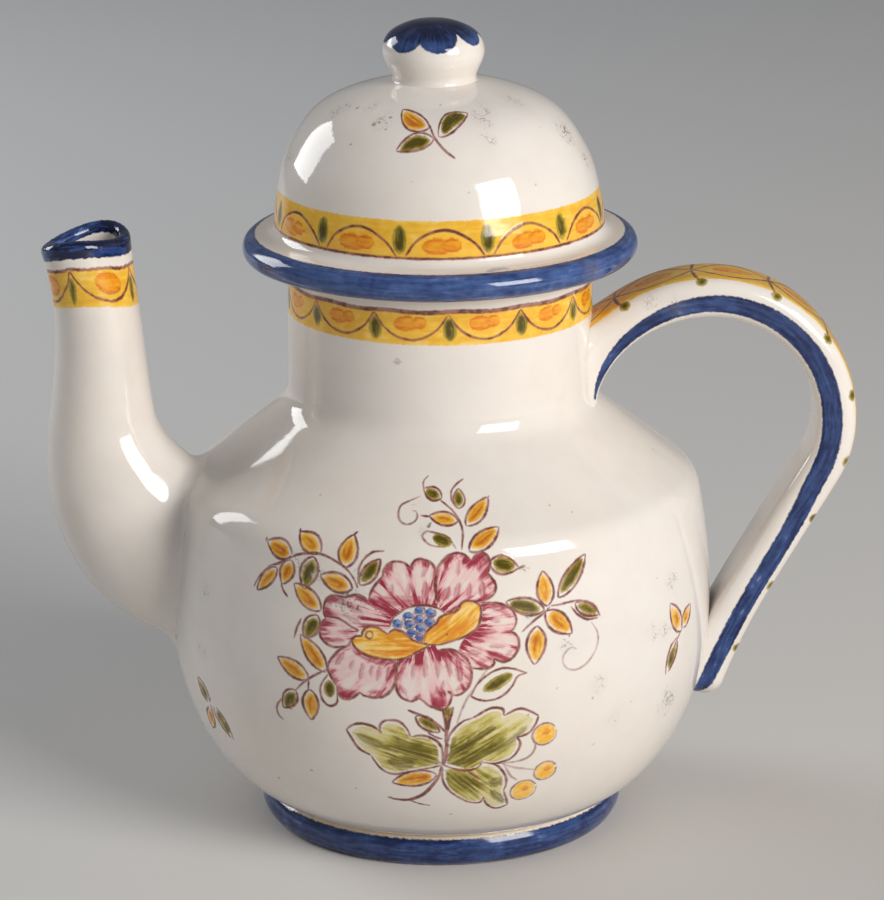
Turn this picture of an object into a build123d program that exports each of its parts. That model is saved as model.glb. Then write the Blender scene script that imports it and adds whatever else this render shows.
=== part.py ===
from build123d import *
import math
import os

# A small teapot in tin-glazed earthenware, for one drinker: a thrown pot on a foot ring,
# an elbowed spout, a strap handle, and a domed lid that lifts off.
# Millimetres. The origin is on the pot's axis, on the plane that the foot stands on.
# +Z is up, the handle is at +X and the spout at -X.

# Pot body: an elliptic bowl, a drawn-up wall, a sloping shoulder and a tall neck
belly_radius = 51.3
belly_height = 42.0
bowl_reach = 24.9
bowl_depth = 37.5
shoulder_radius = 48.5
shoulder_height = 67.2
shoulder_round = 7.0
neck_radius = 28.5
neck_root_height = 82.4
neck_root_round = 6.0
neck_top_height = 108.3
rim_round = 1.0
body_wall = 4.0
neck_wall = 3.4
floor_thickness = 5.0

# Gap left between a curved wall and a piece that is luted to it with slip
luting_gap = 0.05

# Foot ring
foot_height = 6.5
foot_width = 6.8
foot_taper = 0.8
foot_ledge = 0.2
foot_edge_round = 1.0

# Spout: its axis is a straight root, an elbow arc, a riser and a slight lean outwards
spout_reach = 12.5
throat_height = 78.5
spout_root_run = 10.0
spout_root_angle = 155.0
spout_elbow_radius = 33.0
spout_riser = 9.0
spout_lean_radius = 150.0
spout_lean_angle = 12.0
spout_wall = 2.8
mouth_height = 113.0
mouth_cut_angle = 12.0
mouth_round = 1.2

# Half sizes of the spout's oval sections: in the upright plane, then across it
root_half_height = 14.0
root_half_width = 12.0
swell_half_height = 15.9
swell_half_width = 13.3
elbow_half_height = 13.8
elbow_half_width = 12.5
throat_half_height = 9.9
throat_half_width = 9.8
gullet_half_height = 7.9
gullet_half_width = 8.5
lip_half_height = 8.2
lip_half_width = 9.4

# Strainer holes in the pot's wall behind the spout
strainer_hole = 5.0
strainer_pitch = 8.0
strainer_count = 6

# Handle: a flat strap whose path is four arcs and one straight run
handle_width = 15.5
handle_thickness = 7.4
handle_corner = 3.0
handle_drop = 6.3
handle_top_reach = 21.8
handle_rise_radius = 26.5
handle_rise_angle = 75.0
handle_bow_radius = 23.8
handle_turn_radius = 20.0
handle_lean_angle = 30.0
handle_standoff = 8.4
handle_tail_radius = 130.0
handle_tail_angle = 12.0
handle_tip_round = 2.6

# Lid: a thrown shell with a rolled brim, a locating collar below and a knob on top
seat_clearance = 0.3
brim_radius = 36.8
brim_thickness = 5.0
brim_roll = 2.6
ledge_rise = 1.8
ledge_round = 0.8
dome_radius = 30.7
dome_wall_rise = 13.3
dome_wall_inset = 2.8
dome_crown_rise = 21.7
dome_crown_inset = 8.8
dome_rise = 27.0
lid_wall = 3.2
lid_floor = 3.0
collar_clearance = 0.6
collar_thickness = 2.6
collar_depth = 8.5
collar_round = 0.8
vent_hole = 3.0
vent_reach = 14.5

# Knob
knob_sink = 3.0
knob_flare = 1.1
knob_stem_radius = 7.6
knob_stem_rise = 1.9
knob_radius = 9.25
knob_bulge_rise = 5.8
knob_crown_radius = 7.0
knob_crown_rise = 9.2
knob_top_rise = 10.9

# Heights and radii that several pieces share
bowl_centre_radius = belly_radius - bowl_reach
floor_top = foot_height + floor_thickness
neck_bore = neck_radius - neck_wall
seat_height = neck_top_height + seat_clearance
brim_top = seat_height + brim_thickness
dome_base = brim_top + ledge_rise
dome_top = dome_base + dome_rise
collar_radius = neck_bore - collar_clearance
collar_bore = collar_radius - collar_thickness
spare = 10.0


def bowl_radius(level, skin):
    """Radius of the elliptic bowl at a height, drawn in by skin from its outer face."""
    sine = (belly_height - level) / (bowl_depth - skin)
    return bowl_centre_radius + (bowl_reach - skin) * math.sqrt(1 - sine**2)


def pot_outline(skin, neck_skin, bottom, top):
    """Half section of the thrown pot between two heights, drawn in from its outer face."""
    slope = math.atan2(neck_root_height - shoulder_height, shoulder_radius - neck_radius)
    lean = math.atan2(belly_radius - shoulder_radius, shoulder_height - belly_height)
    # A corner between two straight sides moves along its bisector when both are drawn in.
    half_turn = (math.pi / 2 - slope - lean) / 2
    corner_shift = skin / math.cos(half_turn)
    shoulder = (
        shoulder_radius - corner_shift * math.cos(lean + half_turn),
        shoulder_height - corner_shift * math.sin(lean + half_turn),
    )
    neck_root = (
        neck_radius - neck_skin,
        neck_root_height + neck_skin * math.tan(slope) - skin / math.cos(slope),
    )
    cut_angle = math.degrees(math.asin((belly_height - bottom) / (bowl_depth - skin)))
    with BuildSketch(Plane.XZ, mode=Mode.PRIVATE) as outline:
        with BuildLine():
            EllipticalCenterArc(
                (bowl_centre_radius, belly_height),
                bowl_reach - skin,
                bowl_depth - skin,
                start_angle=-cut_angle,
                arc_size=cut_angle,
            )
            TangentArc((belly_radius - skin, belly_height), shoulder, tangent=(0, 1))
            Polyline(
                shoulder,
                neck_root,
                (neck_radius - neck_skin, top),
                (0, top),
                (0, bottom),
                (bowl_radius(bottom, skin), bottom),
            )
        make_face()
        fillet(outline.vertices().sort_by_distance(shoulder)[0], shoulder_round - skin / 2)
        fillet(outline.vertices().sort_by_distance(neck_root)[0], neck_root_round + skin)
    return outline.sketch


# The pot's outer form as a full solid, which spout and handle are fitted against
with BuildPart(mode=Mode.PRIVATE) as pot_form:
    add(pot_outline(-luting_gap, -luting_gap, foot_height, neck_top_height))
    revolve(axis=Axis.Z)


# The spout's axis in the XZ plane, from inside the pot to just past the mouth
root_heading = Vector(
    math.cos(math.radians(spout_root_angle)), 0, math.sin(math.radians(spout_root_angle))
)
elbow_start = Vector(
    spout_elbow_radius * (1 - root_heading.Z) - belly_radius - spout_reach,
    0,
    throat_height + spout_elbow_radius * root_heading.X,
)
with BuildLine(Plane.XZ, mode=Mode.PRIVATE) as spout_axis:
    spout_root = Line(elbow_start - root_heading * spout_root_run, elbow_start)
    spout_elbow = JernArc(
        spout_root @ 1, spout_root % 1, spout_elbow_radius, 90 - spout_root_angle
    )
    spout_rise = Line(spout_elbow @ 1, spout_elbow @ 1 + spout_elbow % 1 * spout_riser)
    spout_lean = JernArc(
        spout_rise @ 1, spout_rise % 1, spout_lean_radius, spout_lean_angle
    )


def spout_solid(skin):
    """Smooth solid through the spout's oval sections, each drawn in by skin."""
    sections = [
        (spout_root, 0.0, root_half_height, root_half_width),
        (spout_elbow, 0.1, swell_half_height, swell_half_width),
        (spout_elbow, 0.33, swell_half_height, swell_half_width),
        (spout_elbow, 0.62, elbow_half_height, elbow_half_width),
        (spout_elbow, 1.0, throat_half_height, throat_half_width),
        (spout_lean, 0.4, gullet_half_height, gullet_half_width),
        (spout_lean, 1.0, lip_half_height, lip_half_width),
    ]
    with BuildPart(mode=Mode.PRIVATE) as tube:
        for stretch, share, half_height, half_width in sections:
            section = Plane(stretch @ share, x_dir=(0, 1, 0), z_dir=stretch % share)
            with BuildSketch(section):
                Ellipse(half_width - skin, half_height - skin)
        loft()
    return tube.part


# Thrown pot: bowl, shoulder and neck in one piece, pierced behind the spout
with BuildPart() as pot_body:
    add(pot_outline(0, 0, foot_height, neck_top_height))
    revolve(axis=Axis.Z)
    with BuildSketch(Plane.XZ):
        add(pot_outline(body_wall, neck_wall, floor_top, neck_top_height + spare))
    revolve(axis=Axis.Z, mode=Mode.SUBTRACT)
    rim_edges = pot_body.edges().group_by(Axis.Z)[-1]
    fillet(rim_edges, rim_round)
    strainer_centre = spout_elbow @ 0.15
    with BuildSketch(Plane.YZ.offset(-belly_radius - spare)):
        with Locations((0, strainer_centre.Z)):
            Circle(strainer_hole / 2)
            with PolarLocations(strainer_pitch, strainer_count):
                Circle(strainer_hole / 2)
    extrude(amount=spare + 2 * body_wall, mode=Mode.SUBTRACT)
pot_body.part.label = "pot_body"

# Foot ring, turned and luted under the pot
foot_top_radius = bowl_radius(foot_height, 0) + foot_ledge
foot_radius = foot_top_radius - foot_taper
with BuildPart() as foot_ring:
    with BuildSketch(Plane.XZ):
        with BuildLine():
            Polyline(
                (foot_radius, 0),
                (foot_top_radius, foot_height),
                (foot_radius - foot_width, foot_height),
                (foot_radius - foot_width, 0),
                close=True,
            )
        make_face()
    revolve(axis=Axis.Z)
    fillet(foot_ring.edges().group_by(Axis.Z)[0], foot_edge_round)
foot_ring.part.label = "foot_ring"

# Spout: a hollow loft, cut to the pot's wall at its root and aslant at its mouth
lean_start, lean_end = spout_lean @ 0, spout_lean @ 1
mouth_share = (mouth_height - lean_start.Z) / (lean_end.Z - lean_start.Z)
mouth_centre = spout_lean @ mouth_share
mouth_tilt = math.radians(mouth_cut_angle)
mouth_plane = Plane(
    mouth_centre, x_dir=(0, 1, 0), z_dir=(-math.sin(mouth_tilt), 0, math.cos(mouth_tilt))
)
with BuildPart() as spout:
    add(spout_solid(0))
    add(pot_form.part, mode=Mode.SUBTRACT)
    add(spout_solid(spout_wall), mode=Mode.SUBTRACT)
    split(bisect_by=mouth_plane, keep=Keep.BOTTOM)
    mouth_edges = spout.faces().sort_by_distance(mouth_centre)[0].edges()
    fillet(mouth_edges, mouth_round)
spout.part.label = "spout"

# Handle: a rounded strap swept from the neck, over and down to the belly
handle_top = (neck_radius + handle_top_reach, neck_top_height - handle_drop)
rise_angle = math.radians(handle_rise_angle)
handle_start = (
    handle_top[0] - handle_rise_radius * math.sin(rise_angle),
    handle_top[1] - handle_rise_radius * (1 - math.cos(rise_angle)),
)
with BuildLine(Plane.XZ) as handle_path:
    rise = JernArc(
        handle_start,
        (math.cos(rise_angle), math.sin(rise_angle)),
        handle_rise_radius,
        -handle_rise_angle,
    )
    bow = JernArc(rise @ 1, rise % 1, handle_bow_radius, -90)
    turn = JernArc(bow @ 1, bow % 1, handle_turn_radius, -handle_lean_angle)
    run_width = (turn @ 1).X - belly_radius - handle_standoff
    run_length = run_width / math.sin(math.radians(handle_lean_angle))
    run = Line(turn @ 1, turn @ 1 + turn % 1 * run_length)
    tail = JernArc(run @ 1, run % 1, handle_tail_radius, handle_tail_angle)
with BuildPart() as handle:
    strap_section = Plane(rise @ 0, x_dir=(0, 1, 0), z_dir=rise % 0)
    with BuildSketch(strap_section):
        RectangleRounded(handle_width, handle_thickness, handle_corner)
    sweep(path=handle_path.line)
    tip_face = handle.faces().sort_by_distance(tail @ 1)[0]
    fillet(tip_face.edges(), handle_tip_round)
    add(pot_form.part, mode=Mode.SUBTRACT)
handle.part.label = "handle"

# Lid shell: dome and rolled brim thrown as one, vented behind the knob
dome_wall = (dome_radius - dome_wall_inset, dome_base + dome_wall_rise)
dome_crown = (dome_radius - dome_crown_inset, dome_base + dome_crown_rise)
with BuildSketch(Plane.XZ, mode=Mode.PRIVATE) as lid_outline:
    with BuildLine():
        roll_radius = brim_radius - brim_roll
        roll = ThreePointArc(
            (roll_radius, seat_height),
            (brim_radius, seat_height + brim_thickness / 2),
            (roll_radius, brim_top),
        )
        Line(roll @ 1, (dome_radius, dome_base))
        dome_line = Spline(
            (dome_radius, dome_base),
            dome_wall,
            dome_crown,
            (0, dome_top),
            tangents=[(-0.07, 1), (-1, 0)],
        )
        Polyline(dome_line @ 1, (0, seat_height), roll @ 0)
    make_face()
    ledge_corner = lid_outline.vertices().sort_by_distance((dome_radius, dome_base))[0]
    fillet(ledge_corner, ledge_round)
with BuildPart(mode=Mode.PRIVATE) as lid_form:
    add(lid_outline.sketch)
    revolve(axis=Axis.Z)

with BuildPart() as lid_dome:
    add(lid_form.part)
    with BuildSketch(Plane.XZ):
        with BuildLine():
            lid_throat = (collar_bore, seat_height + lid_floor)
            inner_base = (dome_radius - lid_wall, dome_base + ledge_rise)
            inner_line = Spline(
                inner_base,
                (dome_wall[0] - lid_wall, dome_wall[1] - lid_wall / 3),
                (dome_crown[0] - lid_wall * 0.8, dome_crown[1] - lid_wall * 0.8),
                (0, dome_top - lid_wall),
                tangents=[(-0.07, 1), (-1, 0)],
            )
            Polyline(
                inner_line @ 1,
                (0, seat_height - spare),
                (collar_bore, seat_height - spare),
                lid_throat,
                inner_line @ 0,
            )
        make_face()
    revolve(axis=Axis.Z, mode=Mode.SUBTRACT)
    with BuildSketch(Plane.XY.offset(dome_base)):
        with Locations((0, vent_reach)):
            Circle(vent_hole / 2)
    extrude(amount=dome_rise + spare, mode=Mode.SUBTRACT)
lid_dome.part.label = "lid_dome"

# Locating collar, luted under the lid and running inside the neck with clearance
with BuildPart() as lid_collar:
    with BuildSketch(Plane.XY.offset(seat_height)):
        Circle(collar_radius)
        Circle(collar_bore, mode=Mode.SUBTRACT)
    extrude(amount=-collar_depth)
    fillet(lid_collar.edges().group_by(Axis.Z)[0], collar_round)
lid_collar.part.label = "lid_collar"

# Knob: a flattened button with a low cone on top, luted to the crown of the dome
with BuildPart() as lid_knob:
    with BuildSketch(Plane.XZ):
        with BuildLine():
            flank = Spline(
                (knob_stem_radius + knob_flare, dome_top - knob_sink),
                (knob_stem_radius, dome_top + knob_stem_rise),
                (knob_radius, dome_top + knob_bulge_rise),
                (knob_crown_radius, dome_top + knob_crown_rise),
                (0, dome_top + knob_top_rise),
                tangents=[(-0.2, 1), (0, 1), (0, 1), (-1, 0.6), (-1, 0)],
            )
            Polyline(flank @ 1, (0, dome_top - knob_sink), flank @ 0)
        make_face()
    revolve(axis=Axis.Z)
    with Locations((0, 0, luting_gap)):
        add(lid_form.part, mode=Mode.SUBTRACT)
lid_knob.part.label = "lid_knob"

os.makedirs("parts", exist_ok=True)
for piece in (pot_body, foot_ring, spout, handle, lid_dome, lid_collar, lid_knob):
    export_step(piece.part, f"parts/{piece.part.label}.step")
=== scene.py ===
"""A small tin-glazed teapot, painted by hand, on a pale studio floor.

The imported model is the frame. Every piece that shows is a surface worked out with numpy in
millimetres in the model's own frame, and turned into metres when its mesh is made. Painting is
laid out on a flat sheet for each piece: x runs round the piece and y along its wall, both in
millimetres. Brush lines and washes on that sheet become values at the mesh's face corners, and
the glaze material draws them from there.
"""

import logging
import math
from dataclasses import dataclass, field
from enum import Enum
from typing import ClassVar, Sequence

import bpy
import numpy as np
from mathutils import Matrix, Vector

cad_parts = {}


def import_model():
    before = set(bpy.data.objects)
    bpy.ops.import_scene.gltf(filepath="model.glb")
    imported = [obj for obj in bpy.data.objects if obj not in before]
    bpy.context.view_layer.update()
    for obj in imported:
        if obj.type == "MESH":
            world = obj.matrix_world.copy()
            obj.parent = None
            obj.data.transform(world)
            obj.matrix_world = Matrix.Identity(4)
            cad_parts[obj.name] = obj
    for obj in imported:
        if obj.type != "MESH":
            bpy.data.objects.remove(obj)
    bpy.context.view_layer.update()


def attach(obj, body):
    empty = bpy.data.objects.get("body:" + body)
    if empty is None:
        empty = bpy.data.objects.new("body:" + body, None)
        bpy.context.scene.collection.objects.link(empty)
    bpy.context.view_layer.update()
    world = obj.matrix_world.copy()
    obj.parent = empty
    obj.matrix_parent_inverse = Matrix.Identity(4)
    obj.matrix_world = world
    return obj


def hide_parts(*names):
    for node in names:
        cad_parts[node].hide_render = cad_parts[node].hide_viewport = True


log = logging.getLogger("teapot")

MM = 0.001
Place = tuple[float, float]
Places = Sequence[Place]
Triple = tuple[float, float, float]
Colour = Triple


def tint(red: int, green: int, blue: int) -> Colour:
    """Linear colour of a paint chip given in display values from 0 to 255.

    Args:
        red: the chip's red.
        green: the chip's green.
        blue: the chip's blue.

    Returns:
        Each value c as c / 12.92 below 0.04045 and ((c + 0.055) / 1.055) ** 2.4 above.
    """
    chip = np.array([red, green, blue]) / 255.0
    low, high = chip / 12.92, ((chip + 0.055) / 1.055) ** 2.4
    return tuple(float(c) for c in np.where(chip <= 0.04045, low, high))


@dataclass(frozen=True)
class Lay:
    """How a pigment lies under the brush.

    Attributes:
        thin: its colour where it is thin.
        thick: its colour where it has pooled.
        middle: how densely it lies in the middle of a patch.
        rim: what is added to that along the patch's edge.
        foot: what is added where the brush first touched.
        streak: how strongly the brush's hairs show.
        width: how far in the rim reaches, in millimetres.
    """

    thin: Colour
    thick: Colour
    middle: float = 0.9
    rim: float = 0.0
    foot: float = 0.0
    streak: float = 0.35
    width: float = 0.9


class Tone(Enum):
    """The painter's oxides, as they look on the white glaze."""

    COBALT = Lay(tint(88, 116, 170), tint(34, 52, 104), 0.98, 0.14, 0.0, 0.16)
    DEEP_COBALT = Lay(tint(66, 96, 160), tint(14, 22, 56), 1.0, 0.2, 0.25, 0.35)
    YELLOW_BAND = Lay(tint(246, 206, 78), tint(226, 158, 30), 0.88, -0.05, 0.0, 0.15)
    YELLOW_LEAF = Lay(tint(244, 194, 66), tint(190, 100, 16), 1.02, -0.40, 0.08, 0.3, 1.0)
    COLLAR = Lay(tint(250, 204, 76), tint(220, 134, 20), 0.74, 0.05, 0.14, 0.5)
    ORANGE = Lay(tint(242, 172, 48), tint(214, 110, 16), 0.8, 0.2, 0.0, 0.2)
    OLIVE = Lay(tint(172, 154, 60), tint(82, 70, 10), 1.26, -0.60, 0.0, 0.3, 0.9)
    GREEN = Lay(tint(210, 195, 104), tint(108, 96, 8), 0.76, -0.25, 0.34, 0.5, 2.4)
    ROSE = Lay(tint(230, 168, 172), tint(150, 42, 62), 0.32, 0.50, 0.95, 0.75, 2.1)
    CRIMSON = Lay(tint(214, 128, 138), tint(172, 62, 82), 0.8, 0.0, 0.25)
    AMBER = Lay(tint(250, 200, 72), tint(222, 138, 24), 0.72, 0.0, 0.0, 0.15)
    LOBE = Lay(tint(70, 100, 160), tint(12, 20, 54), 0.88, 0.1, 0.5, 0.12)
    RICH_COBALT = Lay(tint(64, 92, 148), tint(20, 32, 76), 0.98, 0.12, 0.0, 0.22)
    BEAD = Lay(tint(112, 146, 198), tint(52, 76, 136), 0.85, 0.2)
    BROWN = Lay(tint(162, 92, 78), tint(96, 42, 34), 0.9)
    WHITE = Lay(tint(230, 224, 218), tint(226, 219, 212), 1.2)
    STAIN = Lay(tint(170, 160, 150), tint(70, 66, 62), 0.8)
    CLAY = Lay(tint(150, 100, 70), tint(96, 62, 42), 1.0)


LINE_INK = tint(156, 92, 84)
LINE_CORE = tint(88, 40, 34)


def smooth_curve(points: Places, step: float = 0.4) -> np.ndarray:
    """Curve through control points, with points about one step apart.

    Each span is a Catmull-Rom cubic: its slope at a control point is half the chord between
    that point's neighbours.

    Args:
        points: control points.
        step: spacing of the points that come back, in millimetres.

    Returns:
        Array of shape (n, 2).
    """
    knots = np.asarray(points, float)
    padded = np.vstack([2 * knots[0] - knots[1], knots, 2 * knots[-1] - knots[-2]])
    spans = []
    for before, start, end, after in zip(padded, padded[1:], padded[2:], padded[3:]):
        count = max(2, int(np.hypot(*(end - start)) / step) + 1)
        t = np.linspace(0, 1, count, endpoint=False)[:, None]
        spans.append(
            start
            + 0.5 * t * (end - before)
            + t**2 * (before - 2.5 * start + 2 * end - 0.5 * after)
            + t**3 * (1.5 * (start - end) + 0.5 * (after - before))
        )
    return np.vstack([*spans, knots[-1:]])


def corner_curves(points: Places) -> list[np.ndarray]:
    """Curves through control points, broken wherever a point is given twice.

    Args:
        points: control points, with each sharp corner's point repeated.

    Returns:
        One array of shape (n, 2) for each smooth stretch.
    """
    knots = [tuple(p) for p in points]
    breaks = [i + 1 for i in range(len(knots) - 1) if knots[i] == knots[i + 1]]
    edges = [0, *breaks, len(knots)]
    return [smooth_curve(knots[a:b]) for a, b in zip(edges, edges[1:]) if b - a > 1]


def lengths(path: np.ndarray) -> np.ndarray:
    """Distance along a path at each of its points: the running sum of its spans.

    Args:
        path: points of shape (n, 2).

    Returns:
        Array of n distances, the first of them 0.
    """
    return np.concatenate([[0.0], np.cumsum(np.hypot(*np.diff(path, axis=0).T))])


def arc(centre: Place, radii: Place, turn: Place, count: int = 24) -> np.ndarray:
    """Points on an ellipse: the centre plus each radius times the cosine or sine of the angle.

    Args:
        centre: the ellipse's centre.
        radii: its half width and half height.
        turn: first and last angle, in degrees.
        count: number of points.

    Returns:
        Array of shape (count, 2).
    """
    angle = np.radians(np.linspace(turn[0], turn[1], count))
    return np.stack([centre[0] + radii[0] * np.cos(angle), centre[1] + radii[1] * np.sin(angle)], 1)


def rounded(*corners: Triple, count: int = 8) -> np.ndarray:
    """Path through corners that are each rounded off.

    A corner gives way to the parabola between the points that lie radius times the tangent of
    half the turn before it and after it.

    Args:
        corners: (x, y, radius) of each corner; a radius of 0 leaves it sharp.
        count: points on each rounding.

    Returns:
        Array of shape (n, 2).
    """
    place = np.array([c[:2] for c in corners], float)
    out = [place[:1]]
    for i in range(1, len(corners) - 1):
        if corners[i][2] <= 0:
            out.append(place[i : i + 1])
            continue
        back, ahead = place[i - 1] - place[i], place[i + 1] - place[i]
        back, ahead = back / np.hypot(*back), ahead / np.hypot(*ahead)
        half_turn = (math.pi - math.acos(float(np.clip(back @ ahead, -1, 1)))) / 2
        reach = corners[i][2] * math.tan(half_turn)
        t = np.linspace(0, 1, count)[:, None]
        out.append(place[i] + back * reach * (1 - t) ** 2 + ahead * reach * t**2)
    out.append(place[-1:])
    return np.vstack(out)


def stations(*stretches: Triple) -> np.ndarray:
    """Values from stretches that follow one another, each evenly divided.

    Args:
        stretches: (start, end, spacing) of each stretch.

    Returns:
        The values in rising order, each join given once.
    """
    parts = [
        np.linspace(start, end, max(2, round((end - start) / spacing) + 1))[:-1]
        for start, end, spacing in stretches
    ]
    return np.concatenate([*parts, [stretches[-1][1]]])


def along(path: np.ndarray, where: np.ndarray) -> np.ndarray:
    """Points of a path at given distances along it, straight between its own points.

    Args:
        path: points of shape (n, 2).
        where: distances from its start.

    Returns:
        Array of shape (len(where), 2).
    """
    run = lengths(path)
    return np.stack([np.interp(where, run, path[:, 0]), np.interp(where, run, path[:, 1])], -1)


@dataclass
class Skin:
    """A surface of four-cornered faces with its painting sheet, in millimetres.

    Attributes:
        verts: vertex positions, shape (n, 3).
        faces: vertex numbers, shape (m, 4); a face at a pole gives one of them twice.
        sheet: place on the painting sheet at each face corner, shape (m, 4, 2).
    """

    verts: np.ndarray
    faces: np.ndarray
    sheet: np.ndarray

    def kept(self) -> np.ndarray:
        """Mask of face corners that differ from the corner before them, shape (m, 4)."""
        return self.faces != np.roll(self.faces, 1, axis=1)


def grid_skin(surface: np.ndarray, sheet: np.ndarray, loop: bool) -> Skin:
    """Skin over a grid of points whose last column joins the first.

    Each face joins four neighbouring grid points. The sheet has one more column than the grid,
    and for a loop one more row, so that no face runs back across it. A row whose points all
    coincide is a pole.

    Args:
        surface: points of shape (rows, columns, 3).
        sheet: places of shape (rows, columns + 1, 2), or one more row for a loop.
        loop: whether the last row joins the first.

    Returns:
        The skin, with each pole's points merged.
    """
    rows, cols = surface.shape[:2]
    i, j = np.meshgrid(np.arange(rows if loop else rows - 1), np.arange(cols), indexing="ij")
    around = [(i, j), (i, j + 1), (i + 1, j + 1), (i + 1, j)]
    place = np.stack([sheet[a, b] for a, b in around], -2).reshape(-1, 4, 2)
    number = np.stack([(a % rows) * cols + b % cols for a, b in around], -1).reshape(-1, 4)
    pole = np.ptp(surface, axis=1).max(axis=1) < 1e-9
    number = np.where(pole[number // cols], number // cols * cols, number)
    used, packed = np.unique(number, return_inverse=True)
    return Skin(surface.reshape(-1, 3)[used], packed.reshape(-1, 4), place)


def lathe_skin(
    profile: np.ndarray, run: np.ndarray, turn: np.ndarray, spread: float | np.ndarray
) -> Skin:
    """Skin of a turned piece: radius times cosine and sine of the angle, at the profile's height.

    Args:
        profile: (radius, height) rows from pole to pole, or a closed ring of them.
        run: y on the painting sheet for each row.
        turn: angles of the columns once round, from the back.
        spread: radius for each row, or for all, that gives x on the sheet as radius times the
            angle from the front.

    Returns:
        The closed skin, facing out.
    """
    closed = np.allclose(profile[0], profile[-1])
    rows = profile[:-1] if closed else profile
    radius, height = rows[:, :1], rows[:, 1:]
    angle = turn[None, :-1]
    surface = np.stack([radius * np.cos(angle), radius * np.sin(angle), height + 0 * angle], -1)
    x = np.broadcast_to(np.asarray(spread, float), run.shape)[:, None] * (turn + math.pi / 2)
    sheet = np.stack(np.broadcast_arrays(x, run[:, None]), -1)
    return grid_skin(surface, sheet, closed)


def full_turn(*stretches: Triple) -> np.ndarray:
    """Angles once round, from stretches in degrees that are measured from the front.

    Args:
        stretches: (start, end, spacing) from -180, the back, round by the left to 180.

    Returns:
        The angles from +X in radians.
    """
    return np.radians(stations(*stretches) - 90.0)


@dataclass(frozen=True)
class Stroke:
    """One pull of the brush.

    Attributes:
        path: its middle line on the sheet, shape (n, 2).
        half: its half width at each point of the path, in millimetres.
        tone: what it is painted with.
        strength: 1 where the pigment covers, less where it is thin.
    """

    path: np.ndarray
    half: np.ndarray
    tone: Tone
    strength: float

    def field(self, places: np.ndarray) -> np.ndarray:
        """Where the places lie beside the stroke.

        Args:
            places: places on the sheet, shape (n, 2).

        Returns:
            Array of shape (n, 3): the offset to the left of the middle line, the half width
            there less whatever the place lies beyond an end, and the distance along.
        """
        start, span = self.path[:-1], np.diff(self.path, axis=0)
        size = np.hypot(*span.T)
        rel = places[:, None] - start
        share = (rel * span).sum(-1) / size**2
        inside = np.clip(share, 0, 1)
        gap = np.hypot(*np.moveaxis(rel - inside[..., None] * span, -1, 0))
        k = gap.argmin(1)
        pick = np.arange(len(places)), k
        side = (span[k, 0] * rel[pick][:, 1] - span[k, 1] * rel[pick][:, 0]) / size[k]
        low = np.where(k == 0, np.maximum(-share[pick], 0) * size[0], 0)
        high = np.where(k == len(size) - 1, np.maximum(share[pick] - 1, 0) * size[-1], 0)
        beyond = low + high
        offset = np.where(beyond > 0, side, np.where(side < 0, -1, 1) * gap[pick])
        run = lengths(self.path)[k] + inside[pick] * size[k]
        half = np.interp(run, lengths(self.path), self.half) - beyond
        return np.stack([offset, half, run], -1)


@dataclass(frozen=True)
class Wash:
    """A filled patch of pigment.

    Attributes:
        outline: its edge on the sheet, shape (n, 2), closed by its last span.
        tone: what it is painted with.
        foot: where the brush first touched.
        heading: direction of the brush in degrees from x; for a fan it is not used.
        reach: length of the brush's way in millimetres.
        fan: whether the brush was pulled outwards from the foot on every side.
        flat: how much flatter than a circle such a fan is.
        round_it: radius by which a fan's angles become millimetres.
    """

    outline: np.ndarray
    tone: Tone
    foot: Place
    heading: float
    reach: float
    fan: bool = False
    flat: float = 1.5
    round_it: float = 7.0

    def field(self, places: np.ndarray) -> np.ndarray:
        """Where the places lie in the wash.

        Args:
            places: places on the sheet, shape (n, 2).

        Returns:
            Array of shape (n, 3): the distance in from the edge, negative outside, the share
            of the brush's way from its foot, and the place across it in millimetres.
        """
        start, end = self.outline, np.roll(self.outline, -1, axis=0)
        span = end - start
        rel = places[:, None] - start
        share = np.clip((rel * span).sum(-1) / np.maximum((span**2).sum(-1), 1e-12), 0, 1)
        gap = np.hypot(*np.moveaxis(rel - share[..., None] * span, -1, 0)).min(1)
        above = (start[:, 1] > places[:, 1:]) != (end[:, 1] > places[:, 1:])
        rise = np.where(span[:, 1] == 0, 1e-12, span[:, 1])
        crossing = start[:, 0] + (places[:, 1:] - start[:, 1]) * span[:, 0] / rise
        inside = (above & (places[:, :1] < crossing)).sum(1) % 2 == 1
        x, y = (places - np.array(self.foot)).T
        if self.fan:
            y = self.flat * y
            way, across = np.hypot(x, y), self.round_it * np.arctan2(y, x)
        else:
            c, s = math.cos(math.radians(self.heading)), math.sin(math.radians(self.heading))
            way, across = c * x + s * y, c * y - s * x
        return np.stack([np.where(inside, gap, -gap), way / self.reach, across], -1)


def pull(path: np.ndarray, width: float, tone: Tone, strength: float, ends: float) -> Stroke:
    """Stroke along a path, whose width swells by the square root of the sine along it.

    Args:
        path: its middle line.
        width: its greatest width.
        tone: what it is painted with.
        strength: how well the pigment covers.
        ends: its width at the ends, as a share of the greatest width.

    Returns:
        The stroke.
    """
    run = lengths(path)
    swell = np.sqrt(np.sin(np.pi * np.clip(run / run[-1], 0.0, 1.0)).clip(0, 1))
    return Stroke(path, 0.5 * width * (ends + (1 - ends) * swell), tone, strength)


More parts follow.
